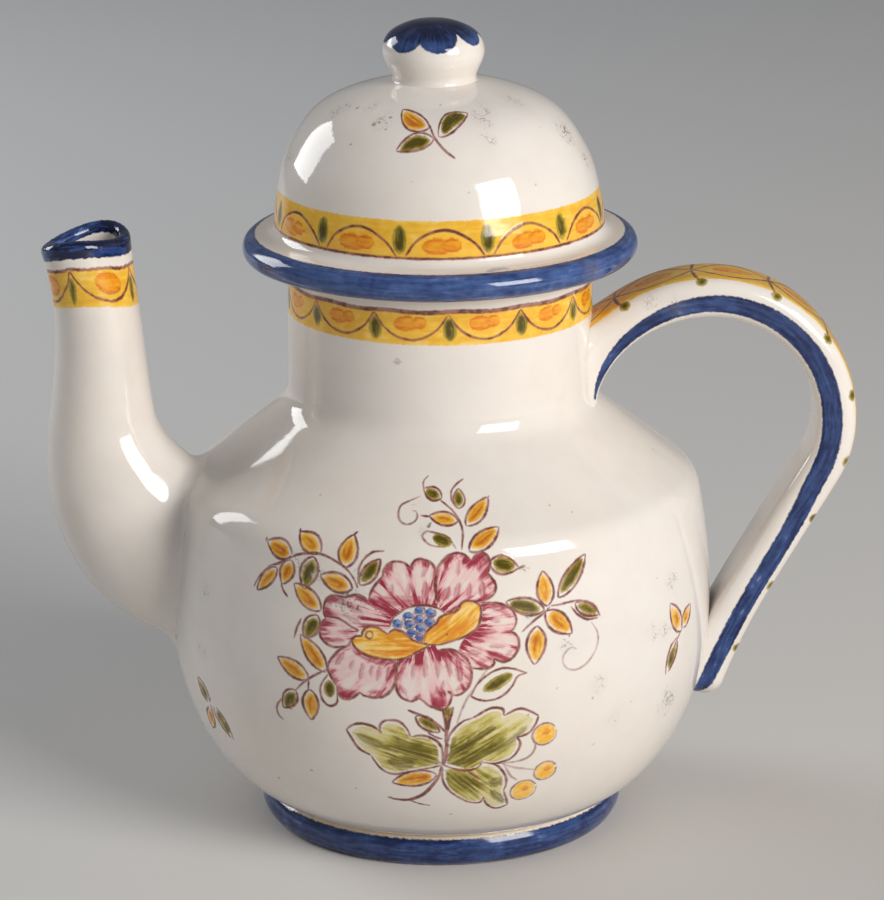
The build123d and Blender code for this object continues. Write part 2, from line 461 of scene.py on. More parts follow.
@dataclass
class Painting:
    """Everything that the painter put on one piece, in the order of the work.

    Attributes:
        washes: filled patches, the later over the earlier.
        marks: coloured brush strokes over the washes.
        lines: fine manganese lines over everything.
        worn: (x, y, radius, strength) of places where the glaze is scuffed and stained.
        OUTLINE: width of the lines round leaves and petals.
        FAR: distance that stands for no wash, mark or line nearby.
        NEAR: how far past a stroke's side its distances are still kept.
    """

    washes: list[Wash] = field(default_factory=list)
    marks: list[Stroke] = field(default_factory=list)
    lines: list[Stroke] = field(default_factory=list)
    worn: list[tuple[float, float, float, float]] = field(default_factory=list)

    OUTLINE: ClassVar[float] = 0.58
    FAR: ClassVar[float] = 9.0
    NEAR: ClassVar[float] = 1.2

    def fill(
        self, outline: Places, tone: Tone, foot: Place, heading: float = 0.0,
        reach: float = 10.0, fan: bool = False,
    ) -> None:
        """Fill a patch inside a smooth outline whose doubled points are sharp corners.

        Args:
            outline: control points round the patch.
            tone: what it is painted with.
            foot: where the brush first touched.
            heading: direction of the brush, in degrees from x.
            reach: length of the brush's way.
            fan: whether the brush was pulled outwards from the foot on every side.
        """
        edge = np.vstack(corner_curves(outline))
        self.washes.append(Wash(edge, tone, foot, heading, reach, fan))

    def band(self, low: float, high: float, tone: Tone) -> None:
        """Fill a band that runs all the way round.

        Args:
            low: y of its lower edge.
            high: y of its upper edge.
            tone: what it is painted with.
        """
        far = 400.0
        edge = np.array([(-far, low), (far, low), (far, high), (-far, high)])
        self.washes.append(Wash(edge, tone, foot=(0.0, low), heading=0.0, reach=9.0))

    def disc(self, centre: Place, radii: Place, tone: Tone, tilt: float = 0.0) -> None:
        """Fill an ellipse.

        Args:
            centre: its middle.
            radii: its half width and half height before it is tilted.
            tone: what it is painted with.
            tilt: its tilt in degrees.
        """
        ring = arc((0.0, 0.0), radii, (0.0, 345.0))
        c, s = math.cos(math.radians(tilt)), math.sin(math.radians(tilt))
        edge = ring @ np.array([[c, s], [-s, c]]) + np.array(centre)
        foot = (centre[0] - radii[0], centre[1])
        self.washes.append(Wash(edge, tone, foot, tilt, 2 * radii[0]))

    def stroke(self, points: Places, width: float, tone: Tone, strength: float = 1.0) -> None:
        """Pull a coloured stroke that thins towards its ends.

        Args:
            points: control points of its middle line, doubled at a sharp turn.
            width: its greatest width.
            tone: what it is painted with.
            strength: how well the pigment covers.
        """
        for path in corner_curves(points):
            self.marks.append(pull(path, width, tone, strength, ends=0.35))

    def dot(self, centre: Place, radius: float, tone: Tone, strength: float = 1.0) -> None:
        """Touch the brush down once.

        Args:
            centre: where it touches.
            radius: radius of the dab.
            tone: what it is painted with.
            strength: how well the pigment covers.
        """
        reach = 0.3 * radius
        path = np.array([(centre[0] - reach, centre[1]), (centre[0] + reach, centre[1] + 0.05)])
        self.marks.append(Stroke(path, np.full(2, 0.8 * radius), tone, strength))

    def line(self, *curves: Places, width: float = 0.5, strength: float = 1.0) -> None:
        """Draw fine manganese lines.

        Args:
            curves: control points of each line, doubled at a sharp turn.
            width: their greatest width.
            strength: how dark they are.
        """
        for points in curves:
            for path in corner_curves(points):
                self.lines.append(pull(path, width, Tone.BROWN, strength, ends=0.5))

    def edge(
        self, y: float, reach: float, count: int, width: float, pace: float = 0.0
    ) -> None:
        """Draw a line all the way round that wavers by the sine of its pace times x.

        Args:
            y: its y on the sheet.
            reach: how far it goes to either side.
            count: its number of points.
            width: its width.
            pace: the pace; 0 leaves it straight.
        """
        x = np.linspace(-reach, reach, count)
        self.line(list(zip(x, y + 0.12 * np.sin(pace * x))), width=width)

    def ring(
        self, centre: Place, radii: Place, turn: Place, count: int, width: float, strength: float
    ) -> None:
        """Draw a fine line round part of an ellipse.

        Args:
            centre: the ellipse's centre.
            radii: its half width and half height.
            turn: first and last angle, in degrees.
            count: number of control points.
            width: the line's width.
            strength: how dark it is.
        """
        self.line([tuple(p) for p in arc(centre, radii, turn, count)], width=width,
                  strength=strength)

    def leaves(self, *rows: tuple[Place, Place, float, Tone]) -> None:
        """Paint outlined leaves, each given by its base, tip, breadth and tone."""
        for row in rows:
            self.leaf(*row)

    def leaf(
        self, base: Place, tip: Place, breadth: float, tone: Tone, bend: float = 0.0,
        full: float = 0.84, outlined: bool = True,
    ) -> None:
        """Paint a leaf with a loose fill and a line down each side.

        Half the breadth goes by the square root of the sine of pi times the distance along.

        Args:
            base: where it leaves the stem.
            tip: its point.
            breadth: its greatest breadth.
            tone: what it is filled with.
            bend: how far its middle bows to the left of the way from base to tip.
            full: breadth of the fill as a share of the leaf's.
            outlined: whether lines run down its sides.
        """
        start, reach = np.array(base, float), np.array(tip, float) - np.array(base, float)
        size = float(np.hypot(*reach))
        left = np.array([-reach[1], reach[0]]) / size
        t = np.linspace(0, 1, 17)[:, None]
        middle = start + reach * t + left * bend * np.sin(np.pi * t)
        swell = 0.5 * breadth * np.sin(np.pi * t**0.85) ** 0.8
        heading = math.degrees(math.atan2(reach[1], reach[0]))
        inner = start + reach * (0.09 + 0.82 * t) + left * bend * np.sin(np.pi * t)
        round_swell = 0.5 * breadth * full * np.sqrt(np.sin(np.pi * t).clip(0, 1))
        edge = np.vstack([inner - left * round_swell, (inner + left * round_swell)[::-1]])
        self.washes.append(Wash(edge + 0.04 * breadth * left, tone, base, heading, size))
        if outlined:
            for side in (-1.0, 1.0):
                path = middle + side * left * swell
                self.lines.append(pull(path, self.OUTLINE, Tone.BROWN, 1.0, ends=0.5))

    def bare_leaf(self, base: Place, tip: Place, breadth: float, full: float = 0.95) -> None:
        """Paint an olive leaf without its lines.

        Args:
            base: where it leaves the stem.
            tip: its point.
            breadth: its greatest breadth.
            full: breadth of the fill as a share of the leaf's.
        """
        self.leaf(base, tip, breadth, Tone.OLIVE, full=full, outlined=False)

    def values(self, skin: Skin) -> dict[str, np.ndarray]:
        """Values at a skin's face corners from which its material draws the painting.

        A face takes the last wash over its middle and the hue of the one under it, the mark
        nearest to it and the two lines nearest to it.

        Args:
            skin: the surface and its sheet.

        Returns:
            For each name an array of shape (faces, 4, 3), or of four colour parts where the
            name ends in hue.
        """
        count = len(skin.faces)
        spots = np.concatenate([skin.sheet, skin.sheet.mean(1, keepdims=True)], 1)
        blank = np.tile([self.FAR, -self.FAR, 0], (count, 4, 1))
        out = {
            "wash": -blank, "under_hue": np.zeros((count, 4, 4)),
            "wash_thin_hue": np.zeros((count, 4, 4)),
            "wash_thick_hue": np.zeros((count, 4, 4)), "wash_lay": np.zeros((count, 4, 3)),
            "mark": blank.copy(), "mark_hue": np.zeros((count, 4, 4)),
            "line": blank.copy(), "over": blank.copy(), "worn": np.zeros((count, 4, 3)),
        }
        for x, y, radius, strength in self.worn:
            gap = np.hypot(spots[:, :4, 0] - x, spots[:, :4, 1] - y)
            part = strength * np.clip(1 - gap / radius, 0, 1)
            out["worn"][..., 0] = np.maximum(out["worn"][..., 0], part)
        self._lay_washes(spots, out)
        self._lay_marks(spots, out)
        self._lay_lines(spots, out)
        return out

    def _lay_washes(self, spots: np.ndarray, out: dict[str, np.ndarray]) -> None:
        """Give each face the last wash over its middle, and the mean hue of the one under it.

        Args:
            spots: places of each face's corners and middle.
            out: the values, which are changed.
        """
        taken = np.zeros(len(spots), bool)
        thin, thick = out["wash_thin_hue"], out["wash_thick_hue"]
        for item in self.washes:
            near, found = self._found(item, item.outline, 0.8, spots)
            mine = found[:, 4, 0] > np.where(taken[near], -0.1, -0.45)
            near, found, lay = near[mine], found[mine], item.tone.value
            before = near[taken[near] & (out["wash"][near].min(1)[:, 0] > 0.0)]
            out["under_hue"][before] = 0.5 * (thin[before] + thick[before])
            out["under_hue"][before, :, 3] = 1.0
            out["wash"][near], taken[near] = found[:, :4], True
            thin[near], thick[near] = (*lay.thin, lay.streak), (*lay.thick, lay.width)
            out["wash_lay"][near] = (lay.middle, lay.rim, lay.foot)

    def _lay_marks(self, spots: np.ndarray, out: dict[str, np.ndarray]) -> None:
        """Give each face the nearest mark, or the last of those that cover its middle.

        Args:
            spots: places of each face's corners and middle.
            out: the values, which are changed.
        """
        best = np.full(len(spots), self.NEAR)
        for item in self.marks:
            near, found = self._found(item, item.path, self.NEAR + item.half.max(), spots)
            score = np.abs(found[:, 4, 0]) - found[:, 4, 1]
            mine = score < np.maximum(best[near], -0.25)
            near = near[mine]
            out["mark"][near], best[near] = found[mine, :4], score[mine]
            out["mark_hue"][near] = (*item.tone.value.thick, item.strength)

    def _lay_lines(self, spots: np.ndarray, out: dict[str, np.ndarray]) -> None:
        """Give each face the two lines nearest to its middle.

        Args:
            spots: places of each face's corners and middle.
            out: the values, which are changed.
        """
        line, over = out["line"], out["over"]
        first, second = np.full(len(spots), self.NEAR), np.full(len(spots), self.NEAR)
        for item in self.lines:
            near, found = self._found(item, item.path, self.NEAR + item.half.max(), spots)
            score = np.abs(found[:, 4, 0]) - found[:, 4, 1]
            found[..., 2] = item.strength
            leads = score < first[near]
            ahead = near[leads]
            over[ahead], second[ahead] = line[ahead], first[ahead]
            line[ahead], first[ahead] = found[leads, :4], score[leads]
            follows = ~leads & (score < second[near])
            over[near[follows]], second[near[follows]] = found[follows, :4], score[follows]

    @staticmethod
    def _found(
        item: Stroke | Wash, path: np.ndarray, margin: float, spots: np.ndarray
    ) -> tuple[np.ndarray, np.ndarray]:
        """Find the faces near a stroke or wash.

        Args:
            item: the stroke or wash.
            path: its path or outline.
            margin: how far past that a face may lie.
            spots: places of each face's corners and middle.

        Returns:
            The faces' numbers, and the item's field at their corners and middles.
        """
        low, high = path.min(0) - margin, path.max(0) + margin
        near = np.nonzero(((spots[:, 4] > low) & (spots[:, 4] < high)).all(1))[0]
        return near, item.field(spots[near].reshape(-1, 2)).reshape(-1, 5, 3)


def scallop(x: float, pitch: float, top: float, curve: Places) -> list[Place]:
    """Points of one of a border's scallops.

    Args:
        x: where it starts.
        pitch: distance from one scallop to the next.
        top: y that its points are measured from.
        curve: its points, each as a share of the pitch and a height over the top.

    Returns:
        The points on the sheet.
    """
    return [(x + share * pitch, top + rise) for share, rise in curve]


Socket = bpy.types.NodeSocket
Value = Socket | float
Hue = Socket | Colour


class Graph:
    """A node tree that is written from its inputs towards its outputs."""

    def __init__(self, tree: bpy.types.NodeTree) -> None:
        """Empty the tree that is to be filled."""
        self.tree = tree
        tree.nodes.clear()

    def node(
        self, kind: str, inputs: dict[str | int, Value] | None = None, **settings: object
    ) -> bpy.types.Node:
        """Add a node.

        Args:
            kind: its type without the ShaderNode in front, or a full type name.
            inputs: socket name or number to a value or another node's output.
            settings: the node's own properties.

        Returns:
            The node.
        """
        name = kind if kind.startswith("Node") else f"ShaderNode{kind}"
        made = self.tree.nodes.new(name)
        for key, value in settings.items():
            setattr(made, key, value)
        for key, value in (inputs or {}).items():
            if isinstance(value, Socket):
                self.tree.links.new(value, made.inputs[key])
            else:
                made.inputs[key].default_value = value
        return made

    def math(self, operation: str, *terms: Value, clamp: bool = False) -> Socket:
        """Add a sum on up to three values.

        Args:
            operation: Blender's name for the sum.
            terms: what it works on.
            clamp: whether the result is kept between 0 and 1.

        Returns:
            The result.
        """
        made = self.node("Math", dict(enumerate(terms)), operation=operation, use_clamp=clamp)
        return made.outputs[0]

    def times(self, first: Value, second: Value, clamp: bool = False) -> Socket:
        """Give the product of two values."""
        return self.math("MULTIPLY", first, second, clamp=clamp)

    def scaled(self, value: Value, gain: Value, base: Value, clamp: bool = False) -> Socket:
        """Give a value times a gain plus a base."""
        return self.math("MULTIPLY_ADD", value, gain, base, clamp=clamp)

    def most(self, first: Value, second: Value) -> Socket:
        """Give the greater of two values."""
        return self.math("MAXIMUM", first, second)

    def centred(self, value: Value) -> Socket:
        """Give a value less a half."""
        return self.math("SUBTRACT", value, 0.5)

    def rest(self, value: Value) -> Socket:
        """Give 1 less a value."""
        return self.math("SUBTRACT", 1.0, value)

    def fade(self, value: Value, low: float, high: float) -> Socket:
        """Give a smooth step.

        Args:
            value: what it follows.
            low: where it is still 0.
            high: where it has come to 1.

        Returns:
            The step.
        """
        made = self.node(
            "MapRange", {"Value": value, "From Min": low, "From Max": high},
            interpolation_type="SMOOTHSTEP",
        )
        return made.outputs[0]

    def mix(self, factor: Value, under: Hue, upper: Hue) -> Socket:
        """Lay one colour over another.

        Args:
            factor: how well the upper colour covers.
            under: the colour below.
            upper: the colour above.

        Returns:
            The colour that shows.
        """
        below, above = (hue if isinstance(hue, Socket) else (*hue, 1.0) for hue in (under, upper))
        return self.node("Mix", {0: factor, 6: below, 7: above}, data_type="RGBA").outputs[2]

    def noise(
        self, place: Socket, size: float = 1.0 / MM, detail: float = 2.0, rough: float = 0.5
    ) -> Socket:
        """Give fractal noise.

        Args:
            place: where it is read.
            size: its features' size in millimetres; without it they are one unit of the place.
            detail: how many finer layers it has.
            rough: how strong those layers are.

        Returns:
            The noise, from 0 to 1.
        """
        made = self.node(
            "TexNoise",
            {"Vector": place, "Scale": 1.0 / (size * MM), "Detail": detail, "Roughness": rough},
        )
        return made.outputs["Fac"]

    def place(self) -> Socket:
        """Give the place on the piece, in its own metres."""
        return self.node("TexCoord").outputs["Object"]

    def hue(self, name: str) -> tuple[Socket, Socket]:
        """Give the colour and the fourth part of a colour that the mesh carries."""
        made = self.node("Attribute", attribute_name=name)
        return made.outputs["Color"], made.outputs["Alpha"]

    def parts(self, name: str) -> Sequence[Socket]:
        """Give the three parts of a vector that the mesh carries."""
        return self.split(self.node("Attribute", attribute_name=name).outputs["Vector"])

    def split(self, vector: Socket) -> Sequence[Socket]:
        """Give the three parts of a vector."""
        return tuple(self.node("SeparateXYZ", {0: vector}).outputs)

    def point(self, *parts: Value) -> Socket:
        """Give a vector made of up to three parts."""
        return self.node("CombineXYZ", dict(enumerate(parts))).outputs[0]

    def bump(self, height: Socket, depth: float) -> Socket:
        """Give normals bent by a height that is as many metres deep as the depth says."""
        made = self.node("Bump", {"Height": height, "Distance": depth, "Strength": 1.0})
        return made.outputs[0]

    def surface(self, inputs: dict[str, Value]) -> None:
        """Add the shader with its inputs and join it to the material's output."""
        skin = self.node("BsdfPrincipled", inputs)
        self.node("OutputMaterial", {0: skin.outputs[0]})


def new_group(
    name: str, takes: dict[str, str], gives: dict[str, str]
) -> tuple[Graph, dict[str, Socket]]:
    """Make an empty node group.

    Args:
        name: its name.
        takes: input names and their socket types.
        gives: output names and their socket types.

    Returns:
        Its graph, and what it takes by name.
    """
    tree = bpy.data.node_groups.new(name, "ShaderNodeTree")
    for side, sockets in (("INPUT", takes), ("OUTPUT", gives)):
        for label, kind in sockets.items():
            tree.interface.new_socket(label, in_out=side, socket_type=f"NodeSocket{kind}")
    graph = Graph(tree)
    given = graph.node("NodeGroupInput").outputs
    return graph, {label: given[label] for label in takes}


def new_material(name: str) -> tuple[bpy.types.Material, Graph]:
    """Make an empty material.

    Args:
        name: the material's name.

    Returns:
        The material, and the graph that fills it.
    """
    material = bpy.data.materials.new(name)
    material.use_nodes = True
    return material, Graph(material.node_tree)


@dataclass(frozen=True)
class Brushwork:
    """How washes, marks and lines lie over a ground colour.

    A patch covers where its distance in from the edge, shaken by noise of a few tenths of a
    millimetre, is above 0, and a stroke where its offset is below its half width. A wash is as
    dense as its tone says for middle, rim and foot, thinned in streaks along the brush's way,
    and its colour goes from thin to thick with that. A line is a soft pale band of manganese
    with a darker core that comes and goes.

    Noises are given as feature size in millimetres, detail and roughness. Edges are pairs of
    distances in millimetres, from where nothing is covered to where all is.

    Attributes:
        shake: noise that frays every edge.
        drift: noise that lets a line wander.
        pool: noise by which pigment gathers in drops.
        slow: noise by which a patch varies from end to end.
        fray: how far the shake moves the edge of a wash, a mark and a line.
        wander: how far the drift moves a line's edge.
        wash_edge: edge of a wash.
        mark_edge: edge of a mark.
        line_edge: edge of a line.
        core_edge: edge of a line's dark core.
        hair_density: how close hairs lie along and across the brush's way, and their waviness.
        hair_range: share of the hair noise that goes from bare to full.
        hair_push: how far hairs push the rim, and the foot, of a wash.
        rim_range: shares of the rim's width between which it gives way to the middle.
        foot_range: shares of the brush's way over which the foot gives way.
        density: gain of a wash's cover.
        thick_range: densities between which the thin colour turns to the thick one.
        bristle_density: how close bristles lie along and across a mark.
        grain_range: noise values between which a line's core runs dry.
        ink: cover of a line's pale band.
        core: cover of its core where it has run dry, and what is added where it hasn't.
        relief: how high lines and washes stand, as shares of the glaze's paint relief.
    """

    shake: Triple = (0.8, 3.0, 0.6)
    drift: Triple = (3.2, 2.0, 0.5)
    pool: Triple = (1.9, 3.0, 0.6)
    slow: Triple = (5.0, 2.0, 0.5)
    fray: Triple = (0.6, 0.8, 0.25)
    wander: float = 0.30
    wash_edge: Place = (-0.14, 0.20)
    mark_edge: Place = (-0.25, 0.35)
    line_edge: Place = (-0.16, 0.14)
    core_edge: Place = (0.02, 0.20)
    hair_density: Triple = (1.5, 1.35, 2.0)
    hair_range: Place = (0.34, 0.66)
    hair_push: Place = (1.9, -0.10)
    rim_range: Place = (0.12, 1.0)
    foot_range: Place = (0.05, 0.72)
    density: float = 1.25
    thick_range: Place = (0.50, 1.30)
    bristle_density: Place = (0.25, 1.8)
    grain_range: Place = (0.36, 0.62)
    ink: float = 0.80
    core: Place = (0.10, 0.72)
    relief: Place = (0.6, 0.3)

    def group(self) -> bpy.types.NodeTree:
        """Make the node group.

        Returns:
            The group: Ground in; Colour, Pigment and Relief out.
        """
        graph, given = new_group(
            "brushwork", {"Ground": "Color"},
            {"Colour": "Color", "Pigment": "Float", "Relief": "Float"},
        )
        place = graph.place()
        shake = graph.centred(graph.noise(place, *self.shake))
        drift = graph.centred(graph.noise(place, *self.drift))
        pool, slow = graph.noise(place, *self.pool), graph.noise(place, *self.slow)
        amount, tone = self.wash(graph, shake, pool, slow)
        under, dried = graph.hue("under_hue")
        colour = graph.mix(amount, graph.mix(dried, given["Ground"], under), tone)
        mark, hue = self.mark(graph, shake)
        colour = graph.mix(mark, colour, hue)
        pale, core = self.line(graph, shake, drift, pool)
        colour = graph.mix(graph.times(pale, self.ink), colour, LINE_INK)
        colour = self.wear(graph, place, graph.mix(core, colour, LINE_CORE))
        painted = graph.most(graph.most(amount, mark), pale)
        relief = graph.scaled(pale, self.relief[0], graph.times(amount, self.relief[1]))
        graph.node("NodeGroupOutput", {"Colour": colour, "Pigment": painted, "Relief": relief})
        return graph.tree

    def wash(
        self, graph: Graph, shake: Socket, pool: Socket, slow: Socket
    ) -> tuple[Socket, Socket]:
        """Draw the washes.

        Args:
            graph: where the nodes go.
            shake: noise about 0 that frays the edge.
            pool: noise by which pigment gathers.
            slow: noise by which a patch varies.

        Returns:
            How well they cover, and their colour.
        """
        distance, way, across = graph.parts("wash")
        middle, rim, foot = graph.parts("wash_lay")
        thin, hairy = graph.hue("wash_thin_hue")
        thick, deep = graph.hue("wash_thick_hue")
        terms = zip((way, across, slow), self.hair_density)
        spot = graph.point(*(graph.times(*term) for term in terms))
        hairs = graph.noise(spot, detail=3.0, rough=0.55)
        hair = graph.times(graph.centred(graph.fade(hairs, *self.hair_range)), hairy)
        pushed = graph.times(hair, self.hair_push[0])
        edge = graph.scaled(shake, self.fray[0], distance)
        inward = graph.math("DIVIDE", graph.math("SUBTRACT", edge, pushed), deep)
        near_rim = graph.rest(graph.fade(inward, *self.rim_range))
        onward = graph.scaled(pushed, self.hair_push[1], way)
        near_foot = graph.rest(graph.fade(onward, *self.foot_range))
        body = graph.scaled(foot, near_foot, graph.scaled(rim, near_rim, middle))
        body = graph.times(body, graph.scaled(hair, 1.3, 1.0))
        for cloud in (pool, slow):
            body = graph.scaled(graph.centred(cloud), 0.5, body)
        cover = graph.fade(edge, *self.wash_edge)
        amount = graph.times(cover, graph.times(body, self.density, clamp=True))
        return amount, graph.mix(graph.fade(body, *self.thick_range), thin, thick)

    def mark(self, graph: Graph, shake: Socket) -> tuple[Socket, Socket]:
        """Draw the marks.

        Args:
            graph: where the nodes go.
            shake: noise about 0 that frays the edge.

        Returns:
            How well they cover, and their colour.
        """
        offset, half, run = graph.parts("mark")
        hue, strength = graph.hue("mark_hue")
        inner = graph.math("SUBTRACT", half, graph.math("ABSOLUTE", offset))
        inner = graph.scaled(shake, self.fray[1], inner)
        terms = zip((run, offset), self.bristle_density)
        bristle = graph.noise(graph.point(*(graph.times(*term) for term in terms)))
        mark = graph.times(graph.fade(inner, *self.mark_edge), strength)
        return graph.times(mark, graph.scaled(graph.fade(bristle, 0.3, 0.65), 0.5, 0.5)), hue

    def line(
        self, graph: Graph, shake: Socket, drift: Socket, pool: Socket
    ) -> tuple[Socket, Socket]:
        """Draw the fine lines.

        Args:
            graph: where the nodes go.
            shake: noise about 0 that frays the edge.
            drift: noise about 0 that lets the line wander.
            pool: noise by which its core runs dry.

        Returns:
            How well their pale band covers, and how well their core does.
        """
        pale, dark = 0.0, 0.0
        for name in ("line", "over"):
            offset, half, strength = graph.parts(name)
            inner = graph.math("SUBTRACT", half, graph.math("ABSOLUTE", offset))
            inner = graph.scaled(drift, self.wander, graph.scaled(shake, self.fray[2], inner))
            pale = graph.most(pale, graph.times(graph.fade(inner, *self.line_edge), strength))
            dark = graph.most(dark, graph.times(graph.fade(inner, *self.core_edge), strength))
        grain = graph.fade(graph.scaled(drift, 0.7, pool), *self.grain_range)
        return pale, graph.times(dark, graph.scaled(grain, self.core[1], self.core[0]), clamp=True)

    def wear(self, graph: Graph, place: Socket, colour: Socket) -> Socket:
        """Lay dullness, cracks and specks over the scuffed places.

        Args:
            graph: where the nodes go.
            place: the place on the piece.
            colour: the colour before.

        Returns:
            The colour after.
        """
        worn = graph.parts("worn")[0]
        fine = graph.scaled(worn, 0.30, graph.noise(place, 0.75, 4.0, 0.75))
        specks = graph.times(graph.fade(fine, 0.70, 0.80), graph.fade(worn, 0.0, 0.25))
        ridge = graph.math("ABSOLUTE", graph.centred(graph.noise(place, 3.4, 3.0, 0.55)))
        cracks = graph.times(graph.rest(graph.fade(ridge, 0.0, 0.016)),
                             graph.fade(worn, 0.02, 0.45))
        for mask, share, hue in (
            (worn, 0.25, tint(176, 168, 160)), (cracks, 0.6, tint(112, 98, 88)),
            (specks, 0.75, tint(78, 72, 66)),
        ):
            colour = graph.mix(graph.times(mask, share), colour, hue)
        return colour


@dataclass(frozen=True)
class TinGlaze:
    """The white tin glaze before painting: clouds of warm and cool white, and freckles.

    Attributes:
        clouds: size, detail and roughness of the noise that turns the white warm.
        haze: the same for the noise that dulls it.
        cool: its white where it is cool.
        warm: its white where it is warm.
        dull: colour of the haze.
        clay: colour of a freckle, where the clay shows.
        cells: freckle cells to a metre.
        rarity: share of the cells that stay empty, and where the others start to grow from.
        freckle: radius of the largest freckle as a share of its cell.
    """

    clouds: Triple = (34.0, 3.0, 0.5)
    haze: Triple = (7.0, 4.0, 0.6)
    cool: Colour = tint(228, 223, 219)
    warm: Colour = tint(233, 225, 214)
    dull: Colour = tint(212, 200, 189)
    clay: Colour = tint(92, 66, 52)
    cells: float = 210.0
    rarity: Place = (0.90, 0.88)
    freckle: float = 0.042

    def group(self) -> bpy.types.NodeTree:
        """Make the node group.

        Returns:
            The group: Warmth and Wear in; Colour and Pits out.
        """
        graph, given = new_group(
            "tin glaze", {"Warmth": "Float", "Wear": "Float"}, {"Colour": "Color", "Pits": "Float"}
        )
        place = graph.place()
        cloud = graph.fade(graph.noise(place, *self.clouds), 0.32, 0.70)
        haze = graph.fade(graph.noise(place, *self.haze), 0.35, 0.72)
        blend = graph.scaled(cloud, 0.5, given["Warmth"], clamp=True)
        colour = graph.mix(blend, self.cool, self.warm)
        colour = graph.mix(graph.times(haze, 0.16), colour, self.dull)

        cells = graph.node("TexVoronoi", {"Vector": place, "Scale": self.cells})
        chance = graph.node("SeparateColor", {0: cells.outputs["Color"]}).outputs[0]
        rare = graph.math("GREATER_THAN", chance, self.rarity[0])
        size = graph.times(graph.fade(chance, self.rarity[1], 1.0), self.freckle)
        freckle = graph.math("LESS_THAN", cells.outputs["Distance"], size)
        freckle = graph.times(graph.times(freckle, rare), given["Wear"])
        colour = graph.mix(graph.times(freckle, 0.5), colour, self.clay)
        graph.node("NodeGroupOutput", {"Colour": colour, "Pits": freckle})
        return graph.tree


@dataclass(frozen=True)
class Glaze:
    """Shiny tin glaze with brushwork in it.

    Attributes:
        name: the material's name.
        warmth: 0 for a cool white, 1 for a warm one.
        wear: how many freckles show.
        waves: size, detail and depth in millimetres of the waves in its surface.
        peel: the same for its finer unevenness.
        paint_height: how far paint stands up, in millimetres.
        pit_depth: how deep a freckle is, in millimetres.
        gloss: its least roughness, and what clouds, paint and freckles add to it.
        bend: how strongly it bends light.
    """

    name: str
    warmth: float = 0.35
    wear: float = 1.0
    waves: Triple = (17.0, 1.0, 0.30)
    peel: Triple = (1.6, 2.0, 0.014)
    paint_height: float = 0.02
    pit_depth: float = 0.10
    gloss: tuple[float, float, float, float] = (0.055, 0.05, 0.03, 0.4)
    bend: float = 1.5

    def build(self, glaze: bpy.types.NodeTree, brush: bpy.types.NodeTree) -> bpy.types.Material:
        """Make the material.

        Args:
            glaze: the tin glaze group.
            brush: the brushwork group.

        Returns:
            The material.
        """
        material, graph = new_material(self.name)
        amounts = {"Warmth": self.warmth, "Wear": self.wear}
        ground = graph.node("Group", amounts, node_tree=glaze).outputs
        colour, pits = ground["Colour"], ground["Pits"]
        paint = graph.node("Group", {"Ground": colour}, node_tree=brush).outputs
        place = graph.place()
        height = graph.times(graph.noise(place, *self.waves[:2]), self.waves[2])
        height = graph.scaled(graph.noise(place, *self.peel[:2]), self.peel[2], height)
        height = graph.scaled(paint["Relief"], self.paint_height, height)
        height = graph.scaled(pits, -self.pit_depth, height)
        least, cloudy, painted, pitted = self.gloss
        rough = graph.scaled(graph.fade(graph.noise(place, 9.0, 3.0), 0.3, 0.75), cloudy, least)
        rough = graph.scaled(paint["Pigment"], painted, rough)
        rough = graph.scaled(pits, pitted, rough, clamp=True)
        graph.surface({
            "Base Color": paint["Colour"], "Roughness": rough, "IOR": self.bend,
            "Normal": graph.bump(height, MM),
        })
        return material


@dataclass(frozen=True)
class BareClay:
    """Unglazed fired clay.

    Attributes:
        name: the material's name.
        colour: its colour.
        grain: size, detail and roughness of its sand.
        blotch: size and detail of its darker blotches.
        shade: how dark those are, as a share of the colour.
        depth: depth of the grain in millimetres.
        rough: its roughness.
    """

    name: str
    colour: Colour
    grain: Triple = (0.5, 4.0, 0.7)
    blotch: Place = (8.0, 3.0)
    shade: float = 0.55
    depth: float = 0.12
    rough: float = 0.85

    def build(self) -> bpy.types.Material:
        """Make the material.

        Returns:
            The material, with sandy grain and darker blotches.
        """
        material, graph = new_material(self.name)
        place = graph.place()
        grain = graph.noise(place, *self.grain)
        blotch = graph.fade(graph.noise(place, *self.blotch), 0.35, 0.7)
        dark = tuple(self.shade * c for c in self.colour)
        colour = graph.mix(graph.times(blotch, 0.5), self.colour, dark)
        colour = graph.mix(graph.times(grain, 0.3), colour, dark)
        normal = graph.bump(grain, self.depth * MM)
        graph.surface({"Base Color": colour, "Roughness": self.rough, "Normal": normal})
        return material


SHARP_EDGE = math.radians(42)


